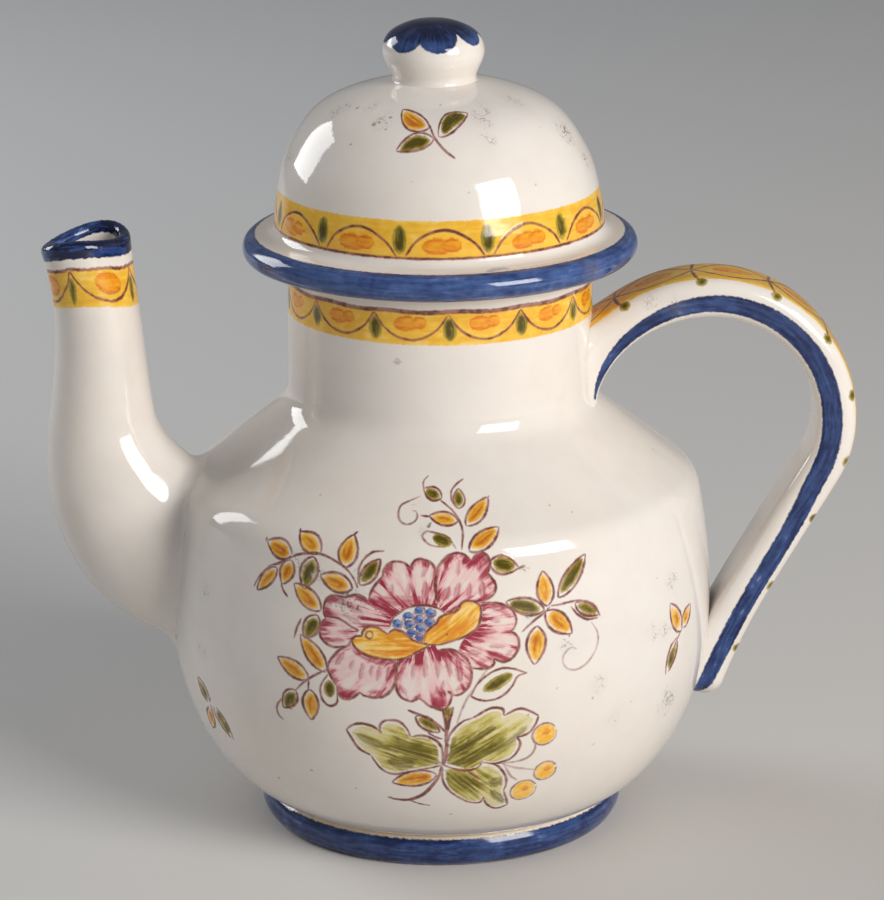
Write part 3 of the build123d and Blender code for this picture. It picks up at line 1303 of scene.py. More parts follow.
def make_piece(
    name: str, skin: Skin, painting: Painting, material: bpy.types.Material
) -> bpy.types.Object:
    """Make a mesh object from a skin and put its painting's values on the face corners.

    Args:
        name: the piece's name.
        skin: its surface in millimetres.
        painting: what is painted on it.
        material: what it is made of.

    Returns:
        The object, at the frame's origin and unscaled.
    """
    kept = skin.kept()
    mesh = bpy.data.meshes.new(name)
    faces = [tuple(face[mask]) for face, mask in zip(skin.faces, kept)]
    mesh.from_pydata((skin.verts * MM).tolist(), [], faces)
    for label, values in painting.values(skin).items():
        kind, slot = ("FLOAT_VECTOR", "vector")
        if label.endswith("hue"):
            kind, slot = ("FLOAT_COLOR", "color")
        layer = mesh.attributes.new(label, kind, "CORNER")
        layer.data.foreach_set(slot, values[kept].astype(np.float32).ravel())
    mesh.polygons.foreach_set("use_smooth", np.ones(len(mesh.polygons), bool))
    mesh.set_sharp_from_angle(angle=SHARP_EDGE)
    mesh.materials.append(material)
    piece = bpy.data.objects.new(name, mesh)
    bpy.context.scene.collection.objects.link(piece)
    log.info("%s: %d faces, %d washes, %d marks, %d lines", name, len(faces),
             len(painting.washes), len(painting.marks), len(painting.lines))
    return piece


@dataclass(frozen=True)
class Looks:
    """The finishes that the pieces are dressed with.

    Attributes:
        pot: glaze of the pot and what is luted to it.
        lid: glaze of the lid.
        clay: bare clay of the lid's collar.
    """

    pot: bpy.types.Material
    lid: bpy.types.Material
    clay: bpy.types.Material


@dataclass(frozen=True)
class Hole:
    """A round hole bored with a drill.

    Attributes:
        middle: middle of the drill.
        way: direction of the drill.
        radius: radius of the hole.
        length: length of the drill.
    """

    middle: Vector
    way: Vector
    radius: float
    length: float

    def drill(self, sides: int) -> np.ndarray:
        """Points round the drill's near and far end: the radius at even angles round its way.

        Args:
            sides: points round each end.

        Returns:
            Array of shape (2 * sides, 3).
        """
        turn = np.array(self.way.to_track_quat("Z", "Y").to_matrix())
        angle = math.tau * np.arange(sides) / sides
        ring = self.radius * np.stack([np.cos(angle), np.sin(angle), 0 * angle], 1)
        rise = np.array([0.0, 0.0, 0.5 * self.length])
        return np.vstack([ring - rise, ring + rise]) @ turn.T + np.array(self.middle)


def pierce(piece: bpy.types.Object, holes: Sequence[Hole], sides: int = 32) -> None:
    """Bore round holes through a piece.

    Args:
        piece: the piece.
        holes: the holes.
        sides: corners of each hole.
    """
    mesh = bpy.data.meshes.new("drill")
    faces = []
    for base in range(0, 2 * sides * len(holes), 2 * sides):
        near, far = range(base, base + sides), range(base + sides, base + 2 * sides)
        faces += [tuple(reversed(near)), tuple(far)]
        ahead = [*range(1, sides), 0]
        faces += [(near[k], near[n], far[n], far[k]) for k, n in enumerate(ahead)]
    verts = np.vstack([hole.drill(sides) for hole in holes]) * MM
    mesh.from_pydata(verts.tolist(), [], faces)
    drill = bpy.data.objects.new("drill", mesh)
    bpy.context.scene.collection.objects.link(drill)
    cut = piece.modifiers.new("holes", "BOOLEAN")
    cut.operation, cut.solver, cut.object = "DIFFERENCE", "EXACT", drill
    graph = bpy.context.evaluated_depsgraph_get()
    whole = bpy.data.meshes.new_from_object(
        piece.evaluated_get(graph), preserve_all_data_layers=True, depsgraph=graph
    )
    piece.modifiers.clear()
    piece.data = whole
    bpy.data.objects.remove(drill)
    log.info("%s: %d holes, %d faces", piece.name, len(holes), len(whole.polygons))


@dataclass(frozen=True)
class PotForm:
    """The thrown pot: bowl, sloping shoulder and tall neck.

    Attributes:
        base: height of the underside.
        seat: radius at which the underside meets the foot ring's inside.
        belly: radius and height of the belly's widest place.
        bowl: half width and half height of the ellipse below it.
        wall_bow: radius of the arc above it.
        bow_trim: how far that arc stops short of the shoulder, in degrees.
        shoulder: radius, height and rounding of the shoulder.
        root: radius, height and rounding where the neck rises.
        neck_top: height of the neck's rim.
        rim: depth and rounding of the rim.
        wall: thickness of the wall, and of the neck's wall.
        thinning: heights between which the one gives way to the other.
        floor: height of the floor inside.
        corner: height over the floor, step inwards and rounding where the wall meets it.
        droop: how far the shoulder hangs beside the spout, at what height and how widely.
        strainer: middle of the strainer's holes, their heading up and their spread.
        hole: radius and length of a strainer hole's drill.
        round_it: radius by which angles become distances on the sheet under the neck.
    """

    base: float = 6.5
    seat: float = 27.0
    belly: Place = (51.3, 42.0)
    bowl: Place = (24.9, 37.5)
    wall_bow: float = 114.8
    bow_trim: float = 1.28
    shoulder: Triple = (48.5, 67.2, 7.0)
    root: Triple = (28.5, 82.4, 6.0)
    neck_top: float = 108.3
    rim: Place = (1.2, 1.0)
    wall: Place = (4.0, 3.4)
    thinning: Place = (70.0, 86.0)
    floor: float = 11.5
    corner: Triple = (3.0, 1.5, 3.5)
    droop: Triple = (1.1, 68.0, 9.0)
    strainer: tuple[Triple, float, float] = ((-47.0, 0.0, 50.5), 0.42, 8.0)
    hole: Place = (2.5, 16.0)
    round_it: float = 50.0

    def build(self, looks: Looks) -> dict[str, bpy.types.Object]:
        """Make the pot and bore its strainer.

        Args:
            looks: the finishes.

        Returns:
            Its piece by the name of the solid that it stands for.
        """
        piece = make_piece("pot", self.skin(), PotPainting(self).paint(), looks.pot)
        middle, rise, spread = self.strainer
        way, up = (Vector(v).normalized() for v in ((-1.0, 0.0, rise), (rise, 0.0, 1.0)))
        turns = [math.radians(60 * k) for k in range(6)]
        spots = [(0.0, 0.0), *((spread * math.cos(a), spread * math.sin(a)) for a in turns)]
        centres = [Vector(middle) + Vector((0, a, 0)) + up * b for a, b in spots]
        pierce(piece, [Hole(centre, way, *self.hole) for centre in centres])
        return {"pot_body": piece}

    def outer(self) -> np.ndarray:
        """Outline from the underside's edge up to the start of the rim.

        Returns:
            Array of (radius, height).
        """
        middle = (self.belly[0] - self.bowl[0], self.belly[1])
        low = math.degrees(math.asin((self.base - middle[1]) / self.bowl[1]))
        bowl = arc(middle, self.bowl, (low, 0.0), 60)
        centre = (self.belly[0] - self.wall_bow, self.belly[1])
        top = math.degrees(math.asin((self.shoulder[1] - centre[1]) / self.wall_bow))
        wall = arc(centre, (self.wall_bow, self.wall_bow), (0.0, top - self.bow_trim), 40)
        shoulder = rounded(
            (*wall[-1], 0.0), self.shoulder, self.root,
            (self.root[0], self.neck_top - self.rim[0], 0.0), count=16,
        )
        return np.vstack([bowl, wall[1:], shoulder[1:]])

    def run_at(self, height: np.ndarray) -> np.ndarray:
        """Distance up the outline from the underside's edge to each height."""
        path = self.outer()
        return np.interp(height, path[:, 1], lengths(path))

    def sag(self, points: np.ndarray) -> np.ndarray:
        """How far the shoulder hangs down beside the spout.

        It goes by the square of the distance towards the spout, and by a bell curve of the
        height.

        Args:
            points: points of shape (..., 3).

        Returns:
            Array of shape (...).
        """
        most, height, spread = self.droop
        lean = np.clip(-points[..., 0] / self.shoulder[0], 0, 1) ** 2
        return most * lean * np.exp(-(((points[..., 2] - height) / spread) ** 2))

    def depth(self, points: np.ndarray) -> np.ndarray:
        """How far points lie out from the pot's wall, level with them.

        Args:
            points: points of shape (..., 3).

        Returns:
            Array of shape (...), negative inside.
        """
        path = self.outer()
        radius = np.hypot(points[..., 0], points[..., 1])
        return radius - np.interp(points[..., 2] + self.sag(points), path[:, 1], path[:, 0])

    def profile(self) -> tuple[np.ndarray, float]:
        """Closed outline from pole to pole.

        The inner skin is the outer one moved in along its normals by the wall's thickness.

        Returns:
            The (radius, height) rows, and the distance at which the outer wall starts.
        """
        outer = self.outer()
        slope = np.gradient(outer, axis=0)
        slope /= np.hypot(*slope.T)[:, None]
        thick = np.interp(outer[:, 1], self.thinning, self.wall)
        inner = outer - np.stack([slope[:, 1], -slope[:, 0]], -1) * thick[:, None]
        over, step, rounding = self.corner
        inner = inner[inner[:, 1] > self.floor + over][::-1]
        neck, top = self.root[0], self.neck_top
        bore, (deep, round_rim) = neck - self.wall[1], self.rim
        rim = rounded(
            (neck, top - deep, 0.0), (neck, top, round_rim), (bore, top, round_rim),
            (bore, top - deep, 0.0),
        )
        corner = rounded(
            (*inner[-1], 0.0), (inner[-1, 0] - step, self.floor, rounding), (0.0, self.floor, 0.0)
        )
        under = np.array([(0.0, self.base), (self.seat, self.base)])
        return np.vstack([under, outer, rim[1:], inner, corner[1:]]), float(outer[0, 0])

    def skin(self) -> Skin:
        """Surface, with rows and columns close together where the bouquet and border are.

        Returns:
            The skin; y on its sheet is the distance up the wall.
        """
        profile, start = self.profile()
        low, high = start + self.run_at(np.array([98.0, 106.8]))
        foot, bouquet, shoulder = start + 2.4, start + 11.0, start + 84.0
        rows = stations(
            (0.0, start, 4.0), (start, foot, 0.4), (foot, bouquet, 1.0), (bouquet, shoulder, 0.42),
            (shoulder, low, 1.1), (low, high, 0.42), (high, high + 7.0, 0.35),
            (high + 7.0, lengths(profile)[-1], 2.0),
        )
        run = rows - start
        turn = full_turn((-180, -44, 2.1), (-44, 37, 0.5), (37, 180, 2.1))
        spread = np.interp(run, [86, 98], [self.round_it, self.root[0]])
        skin = lathe_skin(along(profile, rows), run, turn, spread)
        skin.verts[:, 2] -= self.sag(skin.verts)
        return skin


@dataclass(frozen=True)
class FootForm:
    """The turned foot ring.

    Attributes:
        inner: its inner radius.
        radii: its outer radius at the bottom and at the top.
        height: its height.
        bulge: how far its wall swells.
    """

    inner: float = 27.02
    radii: Place = (33.2, 33.4)
    height: float = 6.45
    bulge: float = 1.3

    def build(self, looks: Looks) -> dict[str, bpy.types.Object]:
        """Make the foot ring, with bare clay at its edge and a cobalt band above it.

        Args:
            looks: the finishes.

        Returns:
            Its piece by the name of the solid that it stands for.
        """
        art = Painting()
        art.band(-9.0, 0.3, Tone.CLAY)
        art.band(0.3, 5.6, Tone.RICH_COBALT)
        return {"foot_ring": make_piece("foot", self.skin(), art, looks.pot)}

    def skin(self) -> Skin:
        """Surface whose wall swells by the bulge times the sine of pi times its share of height.

        Returns:
            The skin; y on its sheet is the height on the outer wall.
        """
        half = 0.5 * self.height
        profile = rounded(
            (self.inner, half, 0.0), (self.inner, 0.0, 0.8), (self.radii[0], 0.0, 1.0),
            (self.radii[1], self.height, 0.9), (self.inner, self.height, 0.2),
            (self.inner, half, 0.0), count=6,
        )
        path = along(profile, stations((0.0, lengths(profile)[-1], 0.45)))
        path[-1] = path[0]
        swell = np.clip((path[:, 0] - self.inner - 1.0) / 5.0, 0, 1)
        path[:, 0] += self.bulge * swell * np.sin(np.pi * np.clip(path[:, 1] / self.height, 0, 1))
        run = np.where(path[:, 0] > self.radii[0] - 0.9, path[:, 1], -4.0)
        turn = full_turn((-180, -80, 1.8), (-80, 80, 0.9), (80, 180, 1.8))
        return lathe_skin(path, run, turn, 34.0)


@dataclass(frozen=True)
class SpoutForm:
    """The hollow elbowed spout.

    Attributes:
        start: where its axis starts inside the pot, as (x, z).
        root: length of the straight start, and its heading in degrees.
        elbow: radius of the bend up.
        riser: length of the upright stretch.
        lean: radius of the last arc and the angle that it leans out by.
        halves: (distance along, half height, half width) of the sections.
        wall: thickness of the wall.
        mouth: middle of the mouth as (x, z), and the tilt of its plane in degrees.
        saddle: how far the lip rises at front and back, and how far it dips between.
        pinch: where the mouth starts to be squeezed, over what length, and how far its far
            side moves to the pot and its whole rim away from it.
        bury: how far its root starts inside the pot's wall.
        fillet: radius of the clay smoothed into the joint with the pot, and how full it is.
        lip: height of the rounded lip.
        round_it: radius by which angles become distances on its sheet.
    """

    start: Place = (-35.68, 44.36)
    root: Place = (10.0, 155.0)
    elbow: float = 33.0
    riser: float = 9.0
    lean: Place = (150.0, 12.0)
    halves: tuple[Triple, ...] = (
        (0.0, 14.0, 12.0), (13.7, 15.9, 13.3), (22.4, 15.9, 13.3), (33.2, 13.8, 12.5),
        (47.4, 9.9, 9.8), (69.0, 7.9, 8.5), (87.9, 8.2, 9.4),
    )
    wall: float = 2.6
    mouth: Triple = (-65.98, 113.0, 5.5)
    saddle: Place = (1.5, 1.2)
    pinch: tuple[float, float, float, float] = (62.0, 20.0, 4.4, 1.9)
    bury: float = 1.5
    fillet: Place = (3.6, 0.85)
    lip: float = 1.1
    round_it: float = 8.8

    def build(self, pot: PotForm, looks: Looks) -> dict[str, bpy.types.Object]:
        """Make the painted spout.

        Args:
            pot: the pot that it grows from.
            looks: the finishes.

        Returns:
            Its piece by the name of the solid that it stands for.
        """
        art = SpoutPainting(math.tau * self.round_it).paint()
        return {"spout": make_piece("spout_glazed", self.skin(pot), art, looks.pot)}

    def axis(self) -> np.ndarray:
        """Middle line, dense enough to read places and headings from.

        Returns:
            Array of (x, z).
        """
        turn = math.radians(self.root[1])
        begin = np.array(self.start)
        bend = begin + self.root[0] * np.array([math.cos(turn), math.sin(turn)])
        sweep = self.root[1] - 90.0
        centre = bend + self.elbow * np.array([math.sin(turn), -math.cos(turn)])
        elbow = arc(tuple(centre), (self.elbow, self.elbow), (180.0 + sweep, 180.0), 60)
        top = elbow[-1] + np.array([0.0, self.riser])
        lean = arc((top[0] - self.lean[0], top[1]), (self.lean[0],) * 2, (0.0, self.lean[1]), 40)
        return np.vstack([begin[None], elbow, lean])

    def tube(self, run: np.ndarray, angle: np.ndarray, inset: float) -> np.ndarray:
        """Points of the tube's wall.

        A section is an ellipse square to the axis, its half height in the plane of the axis.

        Args:
            run: distances along the axis, of any shape.
            angle: angles round the section from the front, to be spread over that shape.
            inset: how far the wall lies inside the outer one.

        Returns:
            Array of that shape and three coordinates.
        """
        axis = self.axis()
        length = lengths(axis)
        place = [np.interp(run, length, axis[:, k]) for k in (0, 1)]
        slope = np.gradient(axis, length, axis=0)
        way = np.stack([np.interp(run, length, slope[:, k]) for k in (0, 1)], -1)
        way /= np.hypot(way[..., 0], way[..., 1])[..., None]
        sizes = np.array(self.halves)
        tall, wide = (
            np.interp(run, *smooth_curve(sizes[:, [0, k]]).T) - inset for k in (1, 2)
        )
        across = tall * np.sin(angle)
        back = 0.5 - 0.5 * np.cos(angle)
        start, over, to_pot, from_pot = self.pinch
        top = np.clip((run - start) / over, 0, 1) ** 2
        shift = top * (to_pot * back**1.5 - from_pot)
        return np.stack(
            [place[0] - across * way[..., 1] + shift, -wide * np.cos(angle),
             place[1] + across * way[..., 0]], -1,
        )

    def ends(self, angle: np.ndarray, inset: float, pot: PotForm) -> tuple[np.ndarray, np.ndarray]:
        """Distances at which each column leaves the pot's wall and meets the mouth's plane.

        Args:
            angle: angles of the columns.
            inset: how far the wall lies inside the outer one.
            pot: the pot.

        Returns:
            The first and the last distance of each column.
        """
        run = np.linspace(0.0, lengths(self.axis())[-1], 500)[:, None] + 0 * angle
        wall = self.tube(run, angle, inset)
        x, z, tilt = *self.mouth[:2], math.radians(self.mouth[2])
        above = (wall[..., 2] - z) * math.cos(tilt) - (wall[..., 0] - x) * math.sin(tilt)
        first = (pot.depth(wall) > -self.bury).argmax(0)
        last = (above > self.saddle[0] * np.cos(angle) ** 2 - self.saddle[1]).argmax(0)
        column = np.arange(angle.size)
        return run[first, column], run[last, column]

    def outside(self, run: np.ndarray, angle: np.ndarray, pot: PotForm) -> np.ndarray:
        """Points of the outer wall, with clay smoothed into the joint with the pot.

        The clay swells the wall by what a quarter circle of the fillet's radius leaves at that
        distance from the pot, and doesn't move it off the pot.

        Args:
            run: distances along the axis.
            angle: angles of the columns.
            pot: the pot.

        Returns:
            Array of the shape of run and three coordinates.
        """
        wall = self.tube(run, angle, 0.0)
        away = wall - self.tube(run, angle, self.wall)
        away /= np.linalg.norm(away, axis=-1, keepdims=True)
        before, (radius, full) = pot.depth(wall), self.fillet
        gap = radius - np.clip(before, 0, radius)
        swell = (radius - np.sqrt(radius**2 - gap**2)) * np.clip(1 + before / self.bury, 0, 1)
        wall += away * full * swell[..., None]
        drift = (pot.depth(wall) - before) * np.exp(-np.clip(before, 0, None) / 2.0)
        wall[..., :2] *= (1 - drift / np.hypot(wall[..., 0], wall[..., 1]))[..., None]
        return wall

    def skin(self, pot: PotForm) -> Skin:
        """Surface out along the spout, over the lip and back down the bore.

        The lip is half an ellipse between the outer and the inner wall.

        Args:
            pot: the pot that it grows from.

        Returns:
            The skin; x on its sheet goes round from the back and y is 0 at the outer lip.
        """
        angle = np.linspace(-0.5, 1.5, 105) * np.pi - 0.5 * np.pi
        root, mouth = self.ends(angle, 0.0, pot)
        share = stations((0.0, 0.10, 0.005), (0.10, 0.58, 0.015), (0.58, 1.0, 0.0062))
        run = root + (mouth - self.lip - root) * share[:, None]
        outside = self.outside(run, angle, pot)
        inner_root, inner_mouth = self.ends(angle, self.wall, pot)
        inner_way = inner_mouth - self.lip - inner_root
        inner_run = inner_root + inner_way * np.linspace(1, 0, 50)[:, None]
        inside = self.tube(inner_run, angle, self.wall)
        swing = np.linspace(0, np.pi, 9)[1:-1, None, None]
        middle, half = 0.5 * (outside[-1] + inside[0]), 0.5 * (outside[-1] - inside[0])
        size = np.linalg.norm(half, axis=-1, keepdims=True)
        tilt = math.radians(self.mouth[2])
        up = np.array([-math.sin(tilt), 0.0, math.cos(tilt)])
        lip = middle + half * np.cos(swing) + up * size * np.sin(swing)
        rows = np.concatenate([outside, lip, inside])
        over = np.linspace(0, 3.5, 7)[:, None] + 0 * angle
        sheet_y = np.concatenate([run - mouth, over, over[-1] + inner_mouth - inner_run])
        sheet_y = np.vstack([sheet_y, sheet_y[-1:] + 1.0])
        sheet = np.stack(np.broadcast_arrays(self.round_it * angle[None], sheet_y), -1)
        return grid_skin(rows[:, :-1], sheet, loop=True)


@dataclass(frozen=True)
class HandleForm:
    """The strap handle.

    Attributes:
        arcs: (centre x, centre z, radius, first angle, last angle) of its arcs in order.
        width: width of the strap, front to back.
        thickness: thickness of the strap.
        corner: rounding of its section's outer corners, and of the inner ones as a share.
        crown: how far its outer face swells in the middle.
        tip: length over which the lower end thins out.
        flare: how much wider it is at the neck, over what distance, and the share of that at
            the lower end.
        bow: distance along up to which it belongs to its upper end.
        bury: how far its ends go into the pot's wall.
    """

    arcs: tuple[tuple[float, float, float, float, float], ...] = (
        (50.3, 75.5, 26.5, 165.0, 90.0), (50.3, 78.2, 23.8, 90.0, 0.0),
        (54.1, 78.2, 20.0, 0.0, -30.0), (172.3, -17.1, 130.0, 150.0, 162.0),
    )
    width: float = 15.5
    thickness: float = 7.4
    corner: Place = (3.3, 0.8)
    crown: float = 0.35
    tip: float = 5.0
    flare: Triple = (0.22, 1.8, 0.4)
    bow: float = 60.0
    bury: float = 1.5

    def build(self, pot: PotForm, looks: Looks) -> dict[str, bpy.types.Object]:
        """Make the painted handle.

        Args:
            pot: the pot that it is luted to.
            looks: the finishes.

        Returns:
            Its piece by the name of the solid that it stands for.
        """
        art = HandlePainting(float(lengths(self.axis())[-1])).paint()
        return {"handle": make_piece("handle_glazed", self.skin(pot), art, looks.pot)}

    def axis(self) -> np.ndarray:
        """Middle line from the neck over the bow to the belly, as (x, z)."""
        return np.vstack([arc((x, z), (r, r), (a, b), 60) for x, z, r, a, b in self.arcs])

    def section(self, spacing: float) -> tuple[np.ndarray, np.ndarray]:
        """Section once round from the middle of the inner face, and the distance round it.

        Args:
            spacing: distance between its points.

        Returns:
            (sideways, outward) points, closed, and their distances from the outer face's middle.
        """
        w, t, outer = 0.5 * self.width, 0.5 * self.thickness, self.corner[0]
        inner = outer * self.corner[1]
        path = rounded(
            (0, -t, 0), (-w, -t, inner), (-w, t, outer), (w, t, outer), (w, -t, inner),
            (0, -t, 0), count=12,
        )
        total = lengths(path)[-1]
        where = np.linspace(0, total, round(total / spacing) + 1)
        points = along(path, where)
        points[:, 1] += self.crown * np.where(points[:, 1] > 0, 1 - (points[:, 0] / w) ** 2, 0)
        return points, where - 0.5 * total

    def skin(self, pot: PotForm) -> Skin:
        """Surface of the strap, flared at both ends and pressed into the pot's wall.

        Args:
            pot: the pot that it is luted to.

        Returns:
            The skin; x on its sheet is 0 along the middle of the outer face and positive
            towards the front, and y is the distance along from the neck.
        """
        axis = self.axis()
        length = lengths(axis)
        rows = stations((0.0, length[-1], 0.48))
        place = along(axis, rows)
        slope = np.gradient(axis, axis=0)
        way = np.stack([np.interp(rows, length, slope[:, k]) for k in (0, 1)], -1)
        way /= np.hypot(*way.T)[:, None]
        section, round_it = self.section(0.42)
        left = np.clip((length[-1] - rows) / self.tip, 0, 1)
        shrink = np.sqrt(1 - (1 - left) ** 2)
        shrink[0] = shrink[-1] = 0.0
        side, out = section.T[:, None, :] * shrink[:, None]
        surface = np.stack(
            [place[:, :1] - out * way[:, 1:], side, place[:, 1:] + out * way[:, :1]], -1
        )
        most, reach, low_share = self.flare
        swell = most * np.exp(-np.clip(pot.depth(surface), 0, None) / reach)
        swell *= np.where(rows < self.bow, 1.0, low_share)[:, None]
        middle = np.stack([place[:, 0], 0 * rows, place[:, 1]], -1)[:, None]
        surface = middle + (surface - middle) * (1 + swell)[..., None]
        short = np.minimum(pot.depth(surface) + self.bury, 0)[..., None]
        radius = np.hypot(surface[..., :1], surface[..., 1:2])
        surface[..., :2] -= surface[..., :2] / radius * short
        surface[0], surface[-1] = surface[0].mean(0), surface[-1].mean(0)
        sheet = np.stack(np.broadcast_arrays(round_it[None], rows[:, None]), -1)
        return grid_skin(surface[:, :-1], sheet, loop=False)


@dataclass(frozen=True)
class LidForm:
    """The domed lid with its rolled brim, its collar and its knob.

    Attributes:
        brim: radius of the brim, and heights of its underside and top.
        bore: radius of the hollow at the collar.
        ledge: outline from the brim's top to the foot of the dome.
        dome: outline of the dome up to the crown.
        hollow: outline of the hollow up to its crown.
        collar: inner and outer radius of the collar, and its lower and upper height.
        knob: outline of the knob from its foot to its top.
        knob_seat: radius and height of the knob's hidden underside.
        askew: lean to the left over the brim, rise of the right half and droop over the
            spout, each as a share of the distance.
        level: height over which the lid leans, and the x beyond which it droops.
        vent: middle of the vent hole, its radius and the drill's length.
        sheets: radii by which angles become distances on the sheets of dome, collar and knob.
    """

    brim: Triple = (36.8, 108.6, 113.6)
    bore: float = 21.9
    ledge: tuple[Place, ...] = ((32.2, 113.9), (31.2, 114.5), (30.75, 115.3))
    dome: tuple[Place, ...] = (
        (30.7, 115.4), (30.3, 119.6), (27.9, 128.7), (21.9, 137.1), (11.6, 141.4), (0, 142.4),
    )
    hollow: tuple[Place, ...] = (
        (21.9, 111.6), (27.5, 117.2), (24.7, 127.6), (19.3, 134.5), (0, 139.2),
    )
    collar: tuple[float, float, float, float] = (21.9, 24.5, 100.1, 108.55)
    knob: tuple[Place, ...] = (
        (9.9, 141.0), (8.2, 141.7), (7.75, 142.9), (8.4, 144.5), (9.1, 146.0), (9.4, 147.7),
        (8.9, 149.7), (7.3, 151.4), (3.8, 152.9), (0.0, 153.3),
    )
    knob_seat: Place = (8.4, 139.6)
    askew: Triple = (0.032, 0.014, 0.03)
    level: Place = (113.0, -28.5)
    vent: tuple[Triple, float, float] = ((-0.8, 14.5, 139.0), 1.5, 14.0)
    sheets: Triple = (30.0, 23.0, 9.25)

    def build(self, looks: Looks) -> dict[str, bpy.types.Object]:
        """Make the painted dome with its vent hole, the bare collar and the painted knob.

        Args:
            looks: the finishes.

        Returns:
            The pieces by the names of the solids that they stand for.
        """
        domed = DomePainting(math.tau * self.sheets[0])
        crown = KnobPainting(math.tau * self.sheets[2])
        dome = make_piece("lid", self.dome_skin(), domed.paint(), looks.lid)
        collar = make_piece("collar", self.collar_skin(), Painting(), looks.clay)
        knob = make_piece("knob", self.knob_skin(), crown.paint(), looks.lid)
        middle, radius, length = self.vent
        pierce(dome, [Hole(Vector(middle), Vector((0, 0, 1)), radius, length)])
        return {"lid_dome": dome, "lid_collar": collar, "lid_knob": knob}

    def lean(self, skin: Skin) -> Skin:
        """Let a piece of the lid sit a touch askew.

        It leans to the left by a share of the height over the brim, its right half rises by a
        share of the distance from the axis, and the brim droops a little over the spout.

        Args:
            skin: the piece's surface, which is changed.

        Returns:
            The same skin.
        """
        left, rise, droop = self.askew
        x = skin.verts[:, 0].copy()
        skin.verts[:, 0] -= left * np.clip(skin.verts[:, 2] - self.level[0], 0, None)
        skin.verts[:, 2] += rise * np.clip(x, 0, None) + droop * np.clip(x - self.level[1], None, 0)
        return skin

    @staticmethod
    def crowned(points: Places, step: float = 0.4) -> np.ndarray:
        """Smooth outline up to a crown on the axis, where it is level.

        Args:
            points: control points, the last of them on the axis.
            step: spacing of the points that come back.

        Returns:
            Array of shape (n, 2).
        """
        path = smooth_curve([*points, (-points[-2][0], points[-2][1])], step)
        return path[path[:, 0] > -1e-6]

    def dome_skin(self) -> Skin:
        """Surface of dome and brim.

        Returns:
            The skin; y on its sheet is 0 at the foot of the dome's wall.
        """
        radius, low, high = self.brim
        thick = 0.5 * (high - low)
        roll = arc((radius - thick, low + thick), (thick, thick), (-90, 90), 14)
        ledge = smooth_curve([tuple(roll[-1]), *self.ledge], 0.3)
        foot = np.array([(self.bore, low + 1.0), (self.bore, low), (self.bore + 3.0, low)])
        brim = np.vstack([self.crowned(self.hollow)[::-1], foot, roll, ledge[1:]])
        profile = np.vstack([brim, self.crowned(self.dome)[1:]])
        profile[0, 0] = profile[-1, 0] = 0.0
        start, total = lengths(brim)[-1], lengths(profile)[-1]
        rows = stations(
            (0, start - 15, 1.6), (start - 15, start - 9, 0.5), (start - 9, start + 32, 0.4),
            (start + 32, total, 1.0),
        )
        path = along(profile, rows)
        path[0, 0] = path[-1, 0] = 0.0
        turn = full_turn((-180, -42, 2.0), (-42, 42, 0.8), (42, 180, 2.0))
        return self.lean(lathe_skin(path, rows - start, turn, self.sheets[0]))

    def collar_skin(self) -> Skin:
        """Surface of the collar.

        Returns:
            The skin.
        """
        inner, outer, low, high = self.collar
        half = 0.5 * (low + high)
        profile = rounded(
            (inner, half, 0), (inner, low, 0.8), (outer, low, 0.8), (outer, high, 0.1),
            (inner, high, 0.1), (inner, half, 0), count=6,
        )
        turn = full_turn((-180, 180, 3.0))
        return self.lean(lathe_skin(profile, lengths(profile), turn, self.sheets[1]))

    def knob_skin(self) -> Skin:
        """Surface of the knob.

        Returns:
            The skin; y on its sheet is the height.
        """
        radius, height = self.knob_seat
        side = self.crowned(self.knob, 0.35)
        profile = np.vstack([[(0.0, height), (radius, height)], side])
        rows = stations((0, radius, 2.1), (radius, lengths(profile)[-1], 0.35))
        path = along(profile, rows)
        path[0, 0] = path[-1, 0] = 0.0
        turn = full_turn((-180, 180, 2.6))
        return self.lean(lathe_skin(path, path[:, 1], turn, self.sheets[2]))


